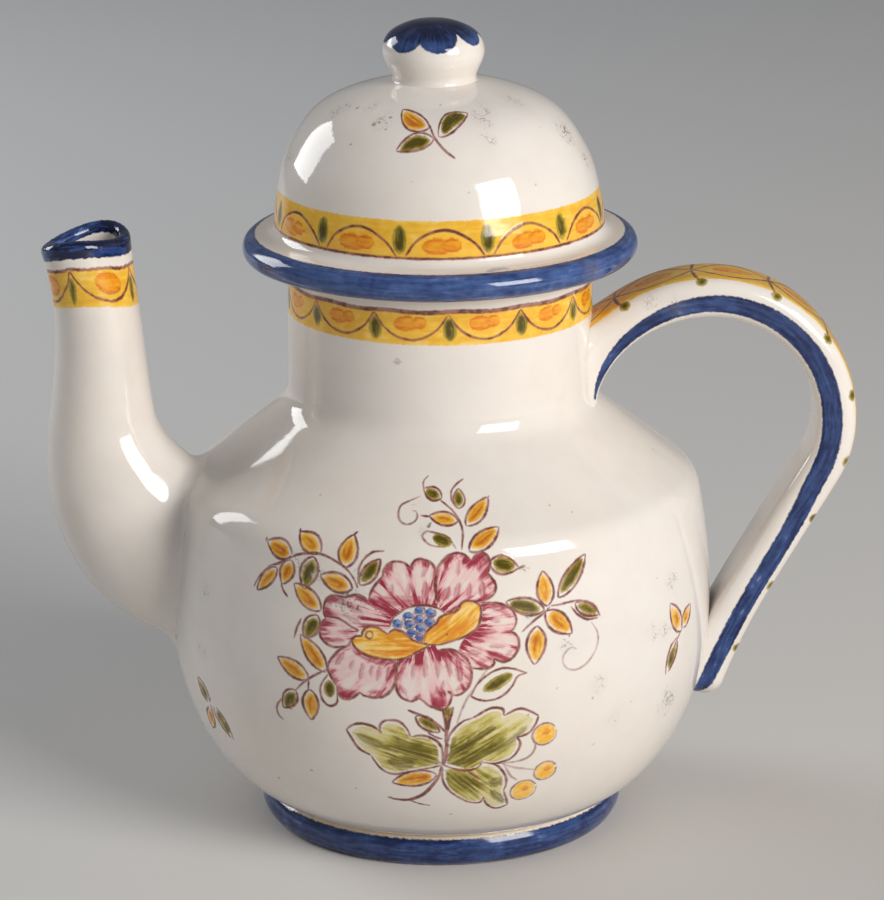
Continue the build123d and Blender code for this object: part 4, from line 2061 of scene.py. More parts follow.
@dataclass(frozen=True)
class Bouquet:
    """The outlined flower with its collar, leaves and sprigs on the front of the pot.

    Places are on the pot's sheet: x round it from the middle of the front, y up its wall.

    Attributes:
        heart: middle of the flower, from which its petals' strokes fan out.
        node: where the big leaves meet on the stem.
        inner: size of a big leaf's fill as a share of its outline.
        fine: width of a petal's strokes as a share of the width they were measured at.
        cover: least cover of a petal's stroke, and what its strength adds to that.
        bead: half width and half height of a bead, and of the line round it.
    """

    heart: Place = (-3.0, 52.5)
    node: Place = (0.3, 25.3)
    inner: float = 0.90
    fine: float = 0.66
    cover: Place = (0.3, 0.6)
    bead: tuple[Place, Place] = ((0.98, 0.86), (1.08, 0.94))

    def paint(self, art: Painting) -> None:
        """Paint the whole bouquet.

        Args:
            art: the pot's painting.
        """
        for part in (
            self.big_leaves, self.petals, self.collar, self.stems, self.upper_sprigs,
            self.side_sprigs, self.lower_sprigs,
        ):
            part(art)

    def stems(self, art: Painting) -> None:
        """Main stem, calyx and thin runners.

        Args:
            art: the pot's painting.
        """
        art.fill([(0.2, 37.3), (2.3, 37.3), (2.3, 37.3), (1.5, 34), (0.8, 34), (0.8, 34),
                  (0.2, 37.3)], Tone.OLIVE, (1.0, 34.0), 90, 4.0)
        for points, width in (
            ([(0.2, 37.3), (0.9, 34.1), (1, 31.4), (1, 27), (0.3, 25.3)], 0.75),
            ([(2.2, 37.3), (1.4, 34.1), (1.1, 31.4)], 0.6),
            ([(0.1, 25), (-0.3, 22.9), (-1.5, 20.6), (-3.2, 18.2), (-5.3, 16.75), (-7.1, 16.2),
              (-9.8, 16.3)], 0.8),
            ([(-6.5, 16.3), (-4.4, 15.3), (-2.1, 14.8)], 0.45),
            ([(-5.7, 36.6), (-3.5, 35.7), (-1.2, 34.4), (0.6, 32.6), (1, 31.4)], 0.6),
            ([(-2.35, 32.3), (-0.9, 31.3), (0.3, 30.9)], 0.45),
        ):
            art.line(points, width=width)
        art.line(
            [(8.4, 44.7), (7, 42.65), (5.4, 40.15), (4.3, 38.4), (3.2, 35.3), (2.8, 34.1)],
            [(11.2, 25.1), (14.1, 25.1), (16.5, 25.9), (17.5, 27.6), (17.2, 29.4)],
            [(11.2, 25.1), (13.8, 23.8), (18.2, 22.6)], [(11.8, 24.7), (13.2, 22), (14.7, 20.6)],
            strength=0.55,
        )
        art.dot((-10.2, 16.6), 0.55, Tone.OLIVE)
        for x, y in ((-17.1, 18.2), (-26.0, 21.0), (15.6, 34.9), (21.0, 39.3)):
            art.dot((x, y), 0.28, Tone.STAIN)

    def big_leaves(self, art: Painting) -> None:
        """The two lobed leaves on the main stem and the one that hangs under it.

        Args:
            art: the pot's painting.
        """
        right = [
            (0.3, 25.3), (1.3, 31), (2.35, 32.9), (3.8, 34.4), (5.6, 35.1), (5.6, 35.1),
            (6.5, 35.6), (7.9, 36.45), (9.4, 36.9), (11, 36.45), (11.2, 35.1), (11.2, 35.1),
            (12.35, 35.7), (14.1, 36.3), (15.9, 35.6), (17.6, 34.4), (17.6, 34.4), (17.2, 32.9),
            (16.3, 31.4), (15.1, 30.7), (13.8, 30.5), (13.8, 30.5), (14.5, 29.2), (14.1, 27.4),
            (13.0, 26.0), (11.2, 25.3), (9.7, 25.1), (7.6, 25.6), (7.6, 25.6), (6.8, 24.4),
            (5, 23.8), (2.9, 24.1), (0.3, 25.3),
        ]
        left = [
            (0.3, 25.3), (0.3, 28.5), (-0.6, 30.3), (-2.1, 31.3), (-3.8, 31.6), (-5.4, 31.2),
            (-5.4, 31.2), (-5.9, 32.6), (-7.1, 34.1), (-8.5, 34.5), (-10.3, 34.1), (-11, 32.6),
            (-10.6, 31.75), (-10.6, 31.75), (-12.1, 32.9), (-14.1, 33.3), (-15.9, 32.9),
            (-17.2, 31.7), (-17.2, 31.7), (-16.3, 30), (-15, 27.9), (-12.9, 26.7), (-12.9, 26.7),
            (-12.35, 25.6), (-11.2, 23.8), (-9.7, 22.9), (-8.2, 22.8), (-6.8, 23.2), (-4.7, 23.8),
            (0, 25.1),
        ]
        low = [
            (0.3, 24.7), (0.3, 21.75), (1.5, 19.1), (3.2, 17.3), (5, 16), (6.5, 15.4), (7.9, 15.4),
            (8.4, 16.9), (8.4, 16.9), (8.8, 15.6), (10, 13.95), (11.6, 13.2), (13.2, 13.7),
            (13.8, 14.1), (13.8, 14.1), (13.2, 15.9), (12.35, 18.2), (12.35, 18.2), (12.6, 19.4),
            (12.5, 21.2), (11.6, 23.2), (10.3, 24.7), (9.4, 25.1),
        ]
        for edge, middle, heading in (
            (left, (-7.5, 28.0), 163), (low, (6.5, 20), -45), (right, (8.0, 29.6), 33),
        ):
            inner = np.array(middle) + self.inner * (np.array(edge) - middle)
            art.fill(inner, Tone.GREEN, self.node, heading, reach=19.0)
            art.line(edge, width=art.OUTLINE)
        for points, width, strength in (
            ([(0.3, 25.3), (2.35, 27.9), (5.3, 30), (7.8, 32), (9.6, 33)], 1.7, 0.75),
            ([(1.0, 25.8), (4.5, 25.9), (8.5, 27.8), (12.5, 29.6), (15.5, 32.5)], 1.8, 0.6),
            ([(3.4, 27.8), (7.2, 28.0), (11.6, 30.4)], 1.2, 0.5),
            ([(1.6, 27.5), (2.6, 31.5)], 1.1, 0.5),
            ([(0, 25.5), (-4, 27.5), (-8, 28.5), (-12, 29)], 1.7, 0.6),
            ([(-5, 25.4), (-7.5, 25.2), (-9.6, 25.8)], 2.3, 0.75),
            ([(-10.2, 28.8), (-13, 29.8), (-15.2, 31)], 2.0, 0.6),
            ([(-3, 29.8), (-6, 29.7), (-8.6, 31.4)], 1.3, 0.45),
            ([(0.8, 24), (4, 21.5), (7, 20.4), (10.6, 20.6)], 1.2, 0.55),
            ([(9.2, 20.8), (10.6, 20.6), (11.4, 21.5)], 2.6, 0.7),
            ([(9.8, 18.5), (11.5, 16.5), (12.8, 14.9)], 1.8, 0.75),
            ([(4, 21), (6.6, 18), (7.4, 16.8)], 1.1, 0.4),
        ):
            art.stroke(points, width, Tone.OLIVE, strength)
        art.line([(5, 23.5), (6.5, 22.3), (7.35, 21.5)])

    def petals(self, art: Painting) -> None:
        """Six petals, white in the middle, with rose pulled in from their rims and feet.

        Args:
            art: the pot's painting.
        """
        top_left = [
            (-13.0, 56.6), (-12.2, 59), (-10.5, 61.3), (-10.5, 61.3), (-10.2, 62.7), (-8.7, 64),
            (-6.9, 64), (-5.5, 63.1), (-5.5, 63.1), (-4.6, 64.5), (-3.3, 64.7), (-1.7, 64),
            (-0.9, 62.7), (-0.8, 60.8), (-0.8, 58), (-0.5, 56.7),
        ]
        top_right = [
            (-0.6, 57.0), (-1, 59.9), (-0.75, 62.4), (0, 63.9), (1.25, 65.2), (2.75, 65.8),
            (4.25, 65.5), (5.6, 64.4), (5.6, 64.4), (6.5, 65.3), (7.75, 65.7), (8.75, 64.7),
            (9.1, 63.4), (8.5, 61.9), (8.5, 61.9), (9.25, 61), (9.9, 59.7), (9.6, 58.2),
            (8.5, 57.3), (7.25, 56.8),
        ]
        right = [
            (7, 56.7), (8.4, 56.6), (10.2, 56.4), (12, 55.6), (13, 54.6), (13.5, 53.1),
            (13.1, 51.7), (12.45, 51.1), (12.45, 51.1), (13.4, 50.3), (13.9, 49), (13.7, 47.6),
            (12.9, 46.3), (11.8, 45.6), (10.6, 45.6), (9.3, 46.3), (9.3, 46.3), (9.4, 45.4),
            (8.6, 44.6), (7, 44.5), (5.4, 44.7),
        ]
        left = [
            (-13.2, 57.0), (-15, 57.6), (-17.5, 56.9), (-19.3, 57), (-20.6, 56.5), (-21.3, 54.9),
            (-21.3, 53.6), (-20.9, 52.6), (-20.9, 52.6), (-21.8, 51.5), (-22, 50.1), (-21.8, 49),
            (-20.9, 48.1), (-19.5, 47.5), (-17.9, 47.65), (-16.5, 48.1), (-15.9, 49.2), (-15, 50.1),
        ]
        low_left = [
            (-15.9, 48.3), (-17.9, 47.3), (-19, 46.1), (-20, 44.7), (-20.4, 43.3), (-19.7, 41.7),
            (-18.6, 40.1), (-18.6, 40.1), (-18.6, 39.2), (-17.9, 38.1), (-17, 37.8), (-15.6, 38.3),
            (-14.3, 39.5), (-14.3, 39.5), (-13.8, 39), (-12, 38.7), (-10.2, 39), (-8.8, 40.2),
            (-8.1, 41.5), (-7.7, 43.3), (-7.7, 45.2), (-7.5, 46.3),
        ]
        low_middle = [
            (-7.5, 46.5), (-7.9, 42.9), (-7.7, 40.4), (-6.8, 39), (-5.2, 38.4), (-3.8, 39),
            (-3.8, 39), (-3.1, 38.6), (-2.2, 37.65), (-1.5, 37.4), (0.4, 36.7), (1.5, 38.1),
            (1.95, 39.9), (1.3, 40.4), (1.3, 40.4), (1.8, 39.8), (2.9, 39.6), (4.05, 40.2),
            (4.95, 41.3), (5.4, 43.3), (5.1, 45.2), (4.3, 46.7), (2.7, 47.9), (1.3, 48.3),
            (-0.3, 48.1),
        ]
        for edge, foot in (
            (right, [(3, 47.4), (4.5, 51), (7.2, 53)]),
            (left, [(-13.6, 51.6), (-9, 51.7), (-8.6, 54.8)]),
            (top_left, [(-0.4, 55.4), (-4.2, 55.9), (-9.2, 53.4)]),
            (top_right, [(6.5, 56.6), (3.2, 55.4), (0.2, 54.6)]),
            (low_left, [(-12, 46.6), (-8, 46.2)]), (low_middle, [(-1.6, 49.2), (-5.5, 47)]),
        ):
            art.fill([*edge, edge[-1], *foot], Tone.ROSE, self.heart, reach=20.0, fan=True)
            art.line(edge, width=art.OUTLINE)
        art.line([(-20.9, 52.9), (-18.4, 52.9), (-16.1, 51.7), (-14.7, 51.1)])
        for points, width, strength in (
            ([(-12.3, 57.2), (-9.5, 56.9), (-6.0, 57.0), (-2.0, 57.3)], 3.0, 0.7),
            ([(-3.0, 57.5), (-2.6, 60.6)], 1.9, 0.75), ([(-5.9, 57.6), (-5.6, 60.2)], 1.4, 0.5),
            ([(-8.9, 57.8), (-8.7, 60)], 1.4, 0.45), ([(-3.5, 61.4), (-2.4, 63.2)], 1.4, 0.35),
            ([(0.4, 57.2), (1.5, 59.6)], 2.6, 0.85), ([(2.6, 57.4), (3.4, 60.4)], 1.9, 0.6),
            ([(5.0, 57.4), (5.2, 60.2)], 1.7, 0.6), ([(7.6, 57.4), (7.4, 60.6)], 2.2, 0.85),
            ([(3.1, 61.6), (3.3, 64.6)], 1.3, 0.45), ([(7.0, 62.2), (7.0, 64.6)], 1.8, 0.75),
            ([(8.6, 60.2), (8.9, 58.8)], 1.3, 0.5),
            ([(8.4, 55.8), (10.6, 55.2), (12.4, 53.6)], 1.7, 0.6),
            ([(6.6, 51.4), (9.8, 51.2)], 1.7, 0.6), ([(5.0, 50.0), (7.6, 49.6)], 2.0, 0.75),
            ([(4.5, 47.6), (7.0, 47.4)], 1.9, 0.6), ([(8.4, 48.6), (11.4, 48.4)], 1.3, 0.45),
            ([(6.0, 45.6), (8.2, 46.0)], 1.3, 0.45), ([(8.8, 53.4), (10.6, 53.0)], 1.2, 0.4),
            ([(11.2, 46.4), (12.6, 47.6)], 1.2, 0.4), ([(-13.9, 54.4), (-16.8, 55.2)], 1.9, 0.5),
            ([(-14.4, 52.6), (-17.8, 53.6)], 1.4, 0.4), ([(-15.6, 50.9), (-18.4, 50.4)], 1.6, 0.5),
            ([(-17.2, 48.8), (-19.8, 48.6)], 1.6, 0.5), ([(-20.4, 55.4), (-20.9, 53.8)], 1.2, 0.4),
            ([(-15.6, 47.3), (-12.8, 46.0), (-10.2, 45.4), (-8.2, 45.6)], 1.8, 0.75),
            ([(-17.2, 46.7), (-18.9, 44.2)], 1.7, 0.65), ([(-15.5, 45.5), (-16.2, 43.5)], 1.3, 0.5),
            ([(-13.8, 45), (-14.3, 42)], 1.4, 0.6), ([(-12, 45), (-12.4, 42.8)], 1.3, 0.6),
            ([(-10.6, 45), (-11.2, 42.0)], 1.4, 0.6), ([(-8.9, 45), (-9.4, 41.8)], 1.7, 0.8),
            ([(-17.9, 39.2), (-16.2, 39.6)], 1.3, 0.5), ([(-12.8, 39.8), (-10.4, 40.0)], 1.3, 0.5),
            ([(-6.3, 46.2), (-6.9, 43.4)], 1.5, 0.65), ([(-4.6, 45.8), (-5, 42.6)], 1.3, 0.5),
            ([(-2.7, 47), (-2.8, 42.9)], 1.4, 0.55), ([(-0.7, 47.4), (-0.5, 43)], 1.5, 0.6),
            ([(1.0, 47.6), (1.6, 43.2)], 1.7, 0.8), ([(2.9, 46.8), (3.4, 42.2)], 2.0, 0.85),
            ([(0.5, 42.4), (0.2, 40.6)], 1.2, 0.45), ([(-1.6, 38.9), (1.0, 38.2)], 1.8, 0.85),
            ([(-7.1, 41.4), (-6.0, 39.6)], 1.3, 0.55), ([(2.6, 40.6), (4.2, 41.6)], 1.4, 0.5),
        ):
            cover = self.cover[0] + self.cover[1] * strength
            art.stroke(points, self.fine * width, Tone.CRIMSON, cover)

    def collar(self, art: Painting) -> None:
        """The yellow turned-back collar and the blue beads above it.

        Args:
            art: the pot's painting.
        """
        left = [
            (-1.8, 49.1), (-3.8, 47.9), (-5.9, 46.7), (-7.7, 46.1), (-10.4, 46.2), (-12.7, 46.5),
            (-14.3, 47.2), (-15.4, 48.1), (-15.9, 49.2), (-15.2, 49.9), (-14, 50.15), (-14, 50.15),
            (-13.8, 51.1), (-12.9, 51.9), (-11.8, 52), (-10.4, 51.5), (-9.3, 50.8), (-9.3, 50.8),
            (-8.4, 51.7), (-7, 51.5), (-5.9, 50.8), (-4.7, 49.9), (-3.4, 49.4), (-1.8, 49.1),
        ]
        right = [
            (-1.6, 49.1), (0, 49.2), (2, 49.8), (3.8, 50.4), (5.4, 51.3), (6.5, 52.2), (7, 53.6),
            (7.2, 54.9), (7, 56.1), (6.1, 56.85), (4.7, 57.1), (3.6, 56.6), (3.1, 55.6), (2, 55),
            (0.9, 54.7), (-0.3, 54), (-0.7, 53.1), (-1.6, 52.4), (-2.5, 51.5), (-3, 50.6),
            (-3.4, 49.5), (-1.6, 49.1),
        ]
        heart = [(-9, 52.2), (-8.4, 53.8), (-7.2, 54.9), (-5.9, 55.8), (-4, 56.3), (-1.8, 56.2),
                 (-0.2, 55.7), (0.6, 55.0)]
        art.fill([*heart, heart[-1], (-0.7, 53.1), (-3.2, 50.0), (-6.5, 51.0), (-9, 52.2)],
                 Tone.WHITE, self.heart)
        art.line(heart)
        for x, y in ((-3.8, 55.4), (-1.9, 55.0), (-5.75, 54.2), (-3.8, 53.8), (-7.7, 52.9),
                     (-5.6, 52.8), (-2.1, 53.2), (-3.7, 52.1), (-5.1, 51.2), (-3.7, 50.5)):
            art.disc((x, y), self.bead[0], Tone.BEAD)
            art.ring((x, y), self.bead[1], (200, 400), 6, 0.3, 0.8)
        for edge, foot, heading, reach in (
            (left, (-1.8, 49), 183, 14.0), (right, (-2.5, 49.5), 40, 12.0),
        ):
            art.fill(edge, Tone.COLLAR, foot, heading, reach)
            art.line(edge, width=art.OUTLINE)
        art.line([(-11.9, 50.4), (-12.3, 51.1), (-13.1, 50.9), (-13.3, 50.1), (-12.6, 49.7),
                  (-12.0, 50.0)], width=0.4)
        for points, width, strength in (
            ([(-12.5, 47.6), (-9.5, 47.2), (-6.5, 47.7), (-3.6, 48.8)], 1.1, 0.6),
            ([(-9.4, 50.2), (-6.8, 49.2), (-4.4, 48.9)], 0.9, 0.6),
            ([(-1.4, 50.0), (1.4, 51.2), (4.3, 53.0), (5.9, 55.3)], 1.2, 0.5),
            ([(-1.6, 51.4), (0.4, 52.8), (2.0, 54.4)], 1.0, 0.55),
            ([(3.2, 51.2), (5.4, 52.8), (6.2, 54.6)], 1.1, 0.5),
        ):
            art.stroke(points, width, Tone.ORANGE, strength)
        art.dot((1.0, 51.0), 0.55, Tone.BROWN, 0.8)

    def upper_sprigs(self, art: Painting) -> None:
        """The sprig above the flower and the one that arches to the upper left.

        Args:
            art: the pot's painting.
        """
        art.line([(3.9, 66.4), (4.25, 68.9), (4.25, 70.9), (3.6, 72.9), (2.5, 74.7), (1.25, 75.9),
                  (0.0, 76.9)], width=0.55)
        art.line([(-4.5, 77.8), (-6.75, 76.7), (-8.5, 75.7), (-8.9, 74.2), (-8.4, 72.4), (-7, 71.5),
                  (-5.5, 71.9), (-4.75, 73.2), (-5.25, 74.4), (-6, 74.5)], strength=0.75)
        art.line(
            [(-3.9, 79.2), (-4.1, 81), (-2.9, 82.4)], [(-2.1, 73.3), (-4.1, 73.5)],
            [(3.2, 75.9), (2.5, 76.9), (2.6, 79.0), (4, 80.5), (5.6, 81.5)],
        )
        art.line([(13.75, 62.2), (15.5, 62.7)], width=0.45)
        art.line([(10.75, 77.2), (11.1, 77.5)], width=0.6)
        art.line([(2.9, 66.5), (1.2, 69.0), (-1.6, 69.9), (-3.0, 70.0), (-3.4, 68.8), (-2.0, 67.3),
                  (0.8, 66.8)], width=0.45, strength=0.8)
        art.stroke([(-2.6, 70.9), (-1.9, 72)], 0.7, Tone.OLIVE)
        yellow, olive = Tone.YELLOW_LEAF, Tone.OLIVE
        art.leaves(
            ((0.3, 77.4), (-3.9, 79.4), 2.9, olive), ((4.0, 75), (4.3, 79.4), 2.7, olive),
            ((5.15, 71.2), (10.75, 77.2), 3.2, yellow), ((5.3, 66), (11.6, 70.6), 3.3, yellow),
            ((3.6, 72.3), (-2.3, 73.5), 3.0, yellow),
        )
        art.bare_leaf((2.6, 67.2), (-1.9, 69.5), 2.6, 1.0)
        art.leaf((8.9, 63.9), (14.2, 62.4), 3.4, Tone.OLIVE)
        art.line([(-15, 58.9), (-16, 60.7), (-17.75, 62.4), (-20.5, 63.7), (-22.5, 64.3),
                  (-24, 64.3), (-26.5, 63.8), (-28.5, 63), (-31.25, 61.3), (-33.5, 60.2),
                  (-35.75, 57.7), (-36.75, 55.7)], width=0.55)
        art.line(
            [(-17, 68.3), (-16.25, 69.3)], [(-27.9, 67.6), (-28.3, 68.4)],
            [(-34.9, 64.8), (-35.0, 65.6)], [(-30.5, 57.7), (-29.9, 56.4), (-28.8, 55.3)],
            [(-15.0, 59.6), (-14.9, 62.4), (-13.9, 64.4), (-12.4, 65.6), (-10.4, 65.9)],
            [(-25.7, 51.9), (-26.6, 49.9), (-27.1, 48.0)],
        )
        art.leaves(
            ((-28.6, 63.2), (-34.6, 65.0), 3.7, yellow),
            ((-22.6, 64.6), (-28.0, 67.8), 3.6, yellow),
            ((-17.6, 62.3), (-16.8, 68.6), 3.7, yellow),
            ((-31.7, 60.4), (-35.9, 55.3), 2.6, yellow),
            ((-28.7, 62.3), (-30.2, 57.5), 3.1, yellow),
            ((-16.0, 58.6), (-22.4, 60.4), 3.5, yellow),
            ((-21.9, 53.9), (-27.6, 58.1), 3.4, yellow), ((-24.0, 63.6), (-25.6, 57.4), 3.6, olive),
            ((-14.6, 59.4), (-11.0, 64.4), 2.7, olive), ((-22.5, 52.9), (-25.0, 48.2), 3.1, olive),
        )

    def side_sprigs(self, art: Painting) -> None:
        """The sprigs at the flower's right and lower left, and the leaf under it.

        Args:
            art: the pot's painting.
        """
        yellow, olive = Tone.YELLOW_LEAF, Tone.OLIVE
        art.line(
            [(20, 54.9), (18.4, 53.6), (16.8, 52.65), (14.5, 50.8)],
            [(20, 54.9), (22, 54.9), (25, 55.1), (27.6, 54.4), (29.2, 53.2), (30.0, 51.4)],
            [(24, 54.2), (25.2, 52.65), (27.2, 51.3), (29.6, 51.2)],
            [(-19.9, 43.4), (-22.8, 41.7), (-25.1, 39.9), (-27.3, 37.6)],
            [(-24.1, 40.4), (-24.3, 38.3)], [(23.6, 49.4), (23.4, 48.7)],
            [(-29.9, 35.9), (-31.3, 33.9), (-31.1, 32.2), (-30.1, 31.4)],
            [(-29.0, 34.4), (-28.0, 34.0)],
            [(-20.2, 42.4), (-21.7, 39.8), (-21.6, 37.3), (-20.2, 36.1), (-18.7, 36.9),
             (-18.6, 39.2)],
        )
        art.line([(28.1, 50.6), (29.2, 48.8), (29.4, 47), (28.8, 45.2), (27.5, 43.6), (25.6, 42.4),
                  (23.8, 42.4), (22.45, 43.3), (22.1, 44.9), (22.9, 46.2), (24, 46.6),
                  (24.8, 46.2)], strength=0.5)
        art.leaves(
            ((18.8, 54.3), (11.6, 56.5), 3.0, olive), ((19.4, 54.9), (18.8, 61.4), 3.2, yellow),
            ((21.6, 56.2), (27.8, 63.2), 3.0, olive), ((19.0, 54.0), (24.0, 49.2), 3.5, yellow),
            ((17.3, 51.5), (16.7, 44.4), 3.6, yellow), ((24.9, 54.6), (29.8, 51.7), 2.4, olive),
            ((-20.6, 42.6), (-25.8, 48.8), 3.2, yellow),
            ((-24.1, 40.7), (-30.6, 43.7), 3.1, yellow),
            ((-23.9, 38.7), (-24.0, 32.6), 3.2, yellow), ((-26.9, 38.0), (-29.8, 34.0), 2.9, olive),
        )
        art.bare_leaf((-20.2, 41.6), (-20.1, 37.2), 2.3, 1.0)
        art.line([(5.2, 39.3), (6.3, 41.5), (8.4, 43.4), (10.6, 44.3), (12.7, 44.1), (15.2, 43),
                  (15.2, 43), (13.6, 42.6), (12.6, 40.8), (10.9, 39.1), (9, 38.4), (7, 38.5),
                  (5.2, 39.3)])
        art.bare_leaf((6.8, 39.8), (13.4, 43.4), 2.5, 1.0)

    def lower_sprigs(self, art: Painting) -> None:
        """The small leaves and berries under the flower.

        Args:
            art: the pot's painting.
        """
        art.leaves(
            ((-4.4, 35.5), (-0.2, 32.3), 2.3, Tone.OLIVE),
            ((-0.8, 23.0), (-9.4, 20.7), 3.6, Tone.YELLOW_LEAF),
        )
        for x, y, radius in ((19.1, 30.4, 2.4), (20.3, 22.0, 2.3), (16.5, 17.7, 2.7)):
            art.disc((x, y), (0.88 * radius, 0.86 * radius), Tone.AMBER, 30)
            art.dot((x + 0.3, y + 0.4), 0.9, Tone.ORANGE, 0.7)
            art.ring((x, y), (radius, 0.95 * radius), (30, 375), 10, 0.45, 0.75)


@dataclass(frozen=True)
class PotPainting:
    """Everything painted on the pot.

    Attributes:
        form: the pot.
        band: heights of the neck border's lower and upper edge.
        foot_band: y of the edges of the yellow line over the foot.
        repeats: number of scallops round the neck.
        first: x of a leaf between two scallops.
        curve: a scallop's points, each as a share of the pitch and a height over the border.
        flowers: middles of a flower's two discs, in the same way.
        dashes: number of brown dashes round the foot.
    """

    form: PotForm
    band: Place = (99.0, 105.2)
    foot_band: Place = (-2.0, 1.0)
    repeats: int = 13
    first: float = 1.5
    curve: tuple[Place, ...] = (
        (0.0, -0.4), (0.16, -3.3), (0.36, -4.9), (0.6, -5.1), (0.84, -3.4), (1.0, -0.5),
    )
    flowers: tuple[Place, Place] = ((0.43, -2.2), (0.60, -2.0))
    dashes: int = 46

    def paint(self) -> Painting:
        """Paint the border, the bouquet, the two small sprigs and the marks of age.

        Returns:
            The painting.
        """
        art = Painting()
        low, high = self.form.run_at(np.array(self.band))
        art.band(low, high, Tone.YELLOW_BAND)
        art.band(*self.foot_band, Tone.YELLOW_BAND)
        around = math.tau * self.form.root[0]
        art.edge(high, 0.5 * around, 90, 0.85, 0.5)
        self.border(art, high, around / self.repeats)
        for k in range(self.dashes):
            x = (k / self.dashes - 0.5) * math.tau * self.form.round_it + 0.6 * math.sin(3.1 * k)
            art.line([(x, -0.1), (x + 1.6, 0.5)], width=0.8)
        Bouquet().paint(art)
        self.small_sprigs(art)
        self.age(art)
        return art

    def border(self, art: Painting, top: float, pitch: float) -> None:
        """Scallops with a flower in each and a leaf between them, none quite like the next.

        Args:
            art: the pot's painting.
            top: y of the border's upper edge.
            pitch: distance from one scallop to the next.
        """
        for k in range(-7, 7):
            x, turn = self.first + k * pitch, math.sin(2.3 * (k % self.repeats))
            art.line(scallop(x, pitch, top, self.curve), width=0.55)
            large, small = scallop(x + 0.03 * turn * pitch, pitch, top, self.flowers)
            art.disc(large, (2.3 + 0.3 * turn, 1.45), Tone.ORANGE, 8 * turn)
            art.disc(small, (1.4, 1.2), Tone.ORANGE)
            art.bare_leaf((x - 0.1 * turn, top - 0.5), (x + 0.3, top - 6.0), 2.8)

    def small_sprigs(self, art: Painting) -> None:
        """The sprigs near the handle and near the spout.

        Args:
            art: the pot's painting.
        """
        yellow, olive = Tone.YELLOW_LEAF, Tone.OLIVE
        art.leaves(
            ((52.4, 42.6), (48.6, 49.2), 3.4, yellow), ((52.7, 43.2), (56.6, 46.8), 3.0, yellow),
            ((50.6, 42.0), (47.4, 35.6), 2.9, olive), ((-52.0, 28.6), (-55.2, 33.0), 3.2, olive),
            ((-50.4, 28.4), (-46.4, 22.4), 3.2, olive), ((-52.4, 27.4), (-54.8, 22.0), 3.0, yellow),
        )
        art.line([(52.6, 43.0), (50.4, 41.2), (48.8, 38.8)],
                 [(-51.0, 30.2), (-51.8, 28.0), (-50.6, 25.6)], width=0.45)

    def age(self, art: Painting) -> None:
        """Pits, scuffed places and flaked spots in the glaze.

        Args:
            art: the piece's painting.
        """
        art.dot((-7.85, 104.5), 0.8, Tone.STAIN, 0.35)
        for x, y, radius in (
            (-35.7, 16.4, 0.35), (69.4, 76.4, 0.5), (30.0, 26.0, 0.3), (33.0, 62.0, 0.25),
            (41.0, 66.0, 0.3), (-41.0, 45.0, 0.3), (24.0, 74.0, 0.25), (38.0, 33.0, 0.35),
            (-45.0, 60.0, 0.25), (2.0, 12.0, 0.3), (-28.0, 76.0, 0.25), (45.0, 55.0, 0.3),
            (28.5, 36.0, 0.3),
        ):
            art.dot((x, y), radius, Tone.STAIN, 0.8)
        art.worn += [
            (49.9, 29.6, 4.5, 0.8), (43.5, 45.1, 3.0, 0.5), (49.7, 53.3, 3.5, 0.5),
            (46.8, 44.5, 2.5, 0.55), (-50.9, 51.3, 2.6, 0.6), (-51.9, 39.0, 2.6, 0.5),
            (-17.0, 55.6, 5.0, 0.75), (-22.5, 59.8, 4.0, 0.6), (-27.0, 62.0, 3.5, 0.5),
            (22.6, 47.2, 2.0, 0.75), (16.2, 53.6, 1.6, 0.9), (15.3, 62.4, 1.6, 0.7),
            (-3.4, 70.2, 1.6, 0.8), (29.5, 38.6, 2.5, 0.6), (34.0, 30.0, 3.0, 0.35),
            (-14.8, 61.0, 2.0, 0.6),
        ]
        art.stroke([(-17.1, 57.4), (-15.5, 58.5), (-13.2, 57.7)], 1.8, Tone.WHITE, 0.95)
        art.stroke([(-24.0, 60.4), (-22.2, 59.6)], 2.2, Tone.WHITE, 0.6)
        art.stroke([(-18.9, 55.6), (-16.6, 55.2)], 2.2, Tone.WHITE, 0.4)


@dataclass(frozen=True)
class SpoutPainting:
    """Everything painted on the spout.

    Attributes:
        around: distance once round on its sheet.
        band: y of the yellow border's edges.
        lip: y of the blue lip's edges.
        repeats: number of scallops round it.
        first: x of a leaf between two scallops.
        curve: a scallop's points, each as a share of the pitch and a y.
        flower: middle of a flower in the same way, and its half width and half height.
    """

    around: float
    band: Place = (-12.2, -4.9)
    lip: Place = (-2.9, 5.4)
    repeats: int = 4
    first: float = 2.3
    curve: tuple[Place, ...] = (
        (0.0, -5.1), (0.1, -7.6), (0.3, -10.2), (0.5, -11.0), (0.74, -10.1), (0.92, -7.6),
        (1.0, -5.1),
    )
    flower: tuple[Place, Place] = ((0.47, -7.6), (2.8, 2.1))

    def paint(self) -> Painting:
        """Paint the blue lip and the yellow border with its scallops.

        Returns:
            The painting.
        """
        art = Painting()
        art.band(*self.band, Tone.YELLOW_BAND)
        art.band(*self.lip, Tone.DEEP_COBALT)
        art.edge(self.band[1], 0.6 * self.around, 60, 0.7, 0.9)
        pitch = self.around / self.repeats
        (share, y), size = self.flower
        for k in range(-3, 3):
            x = self.first + k * pitch
            art.line(scallop(x, pitch, 0.0, self.curve), width=0.6)
            art.disc((x + share * pitch, y), size, Tone.ORANGE)
            art.ring((x + share * pitch, y), size, (120, 330), 8, 0.35, 0.5)
            art.bare_leaf((x, -5.6), (x + 0.9, -12.4), 1.9)
        art.stroke([(-12, -2.2), (-7, -1.6), (-3, -1.9)], 1.6, Tone.BEAD, 0.7)
        return art


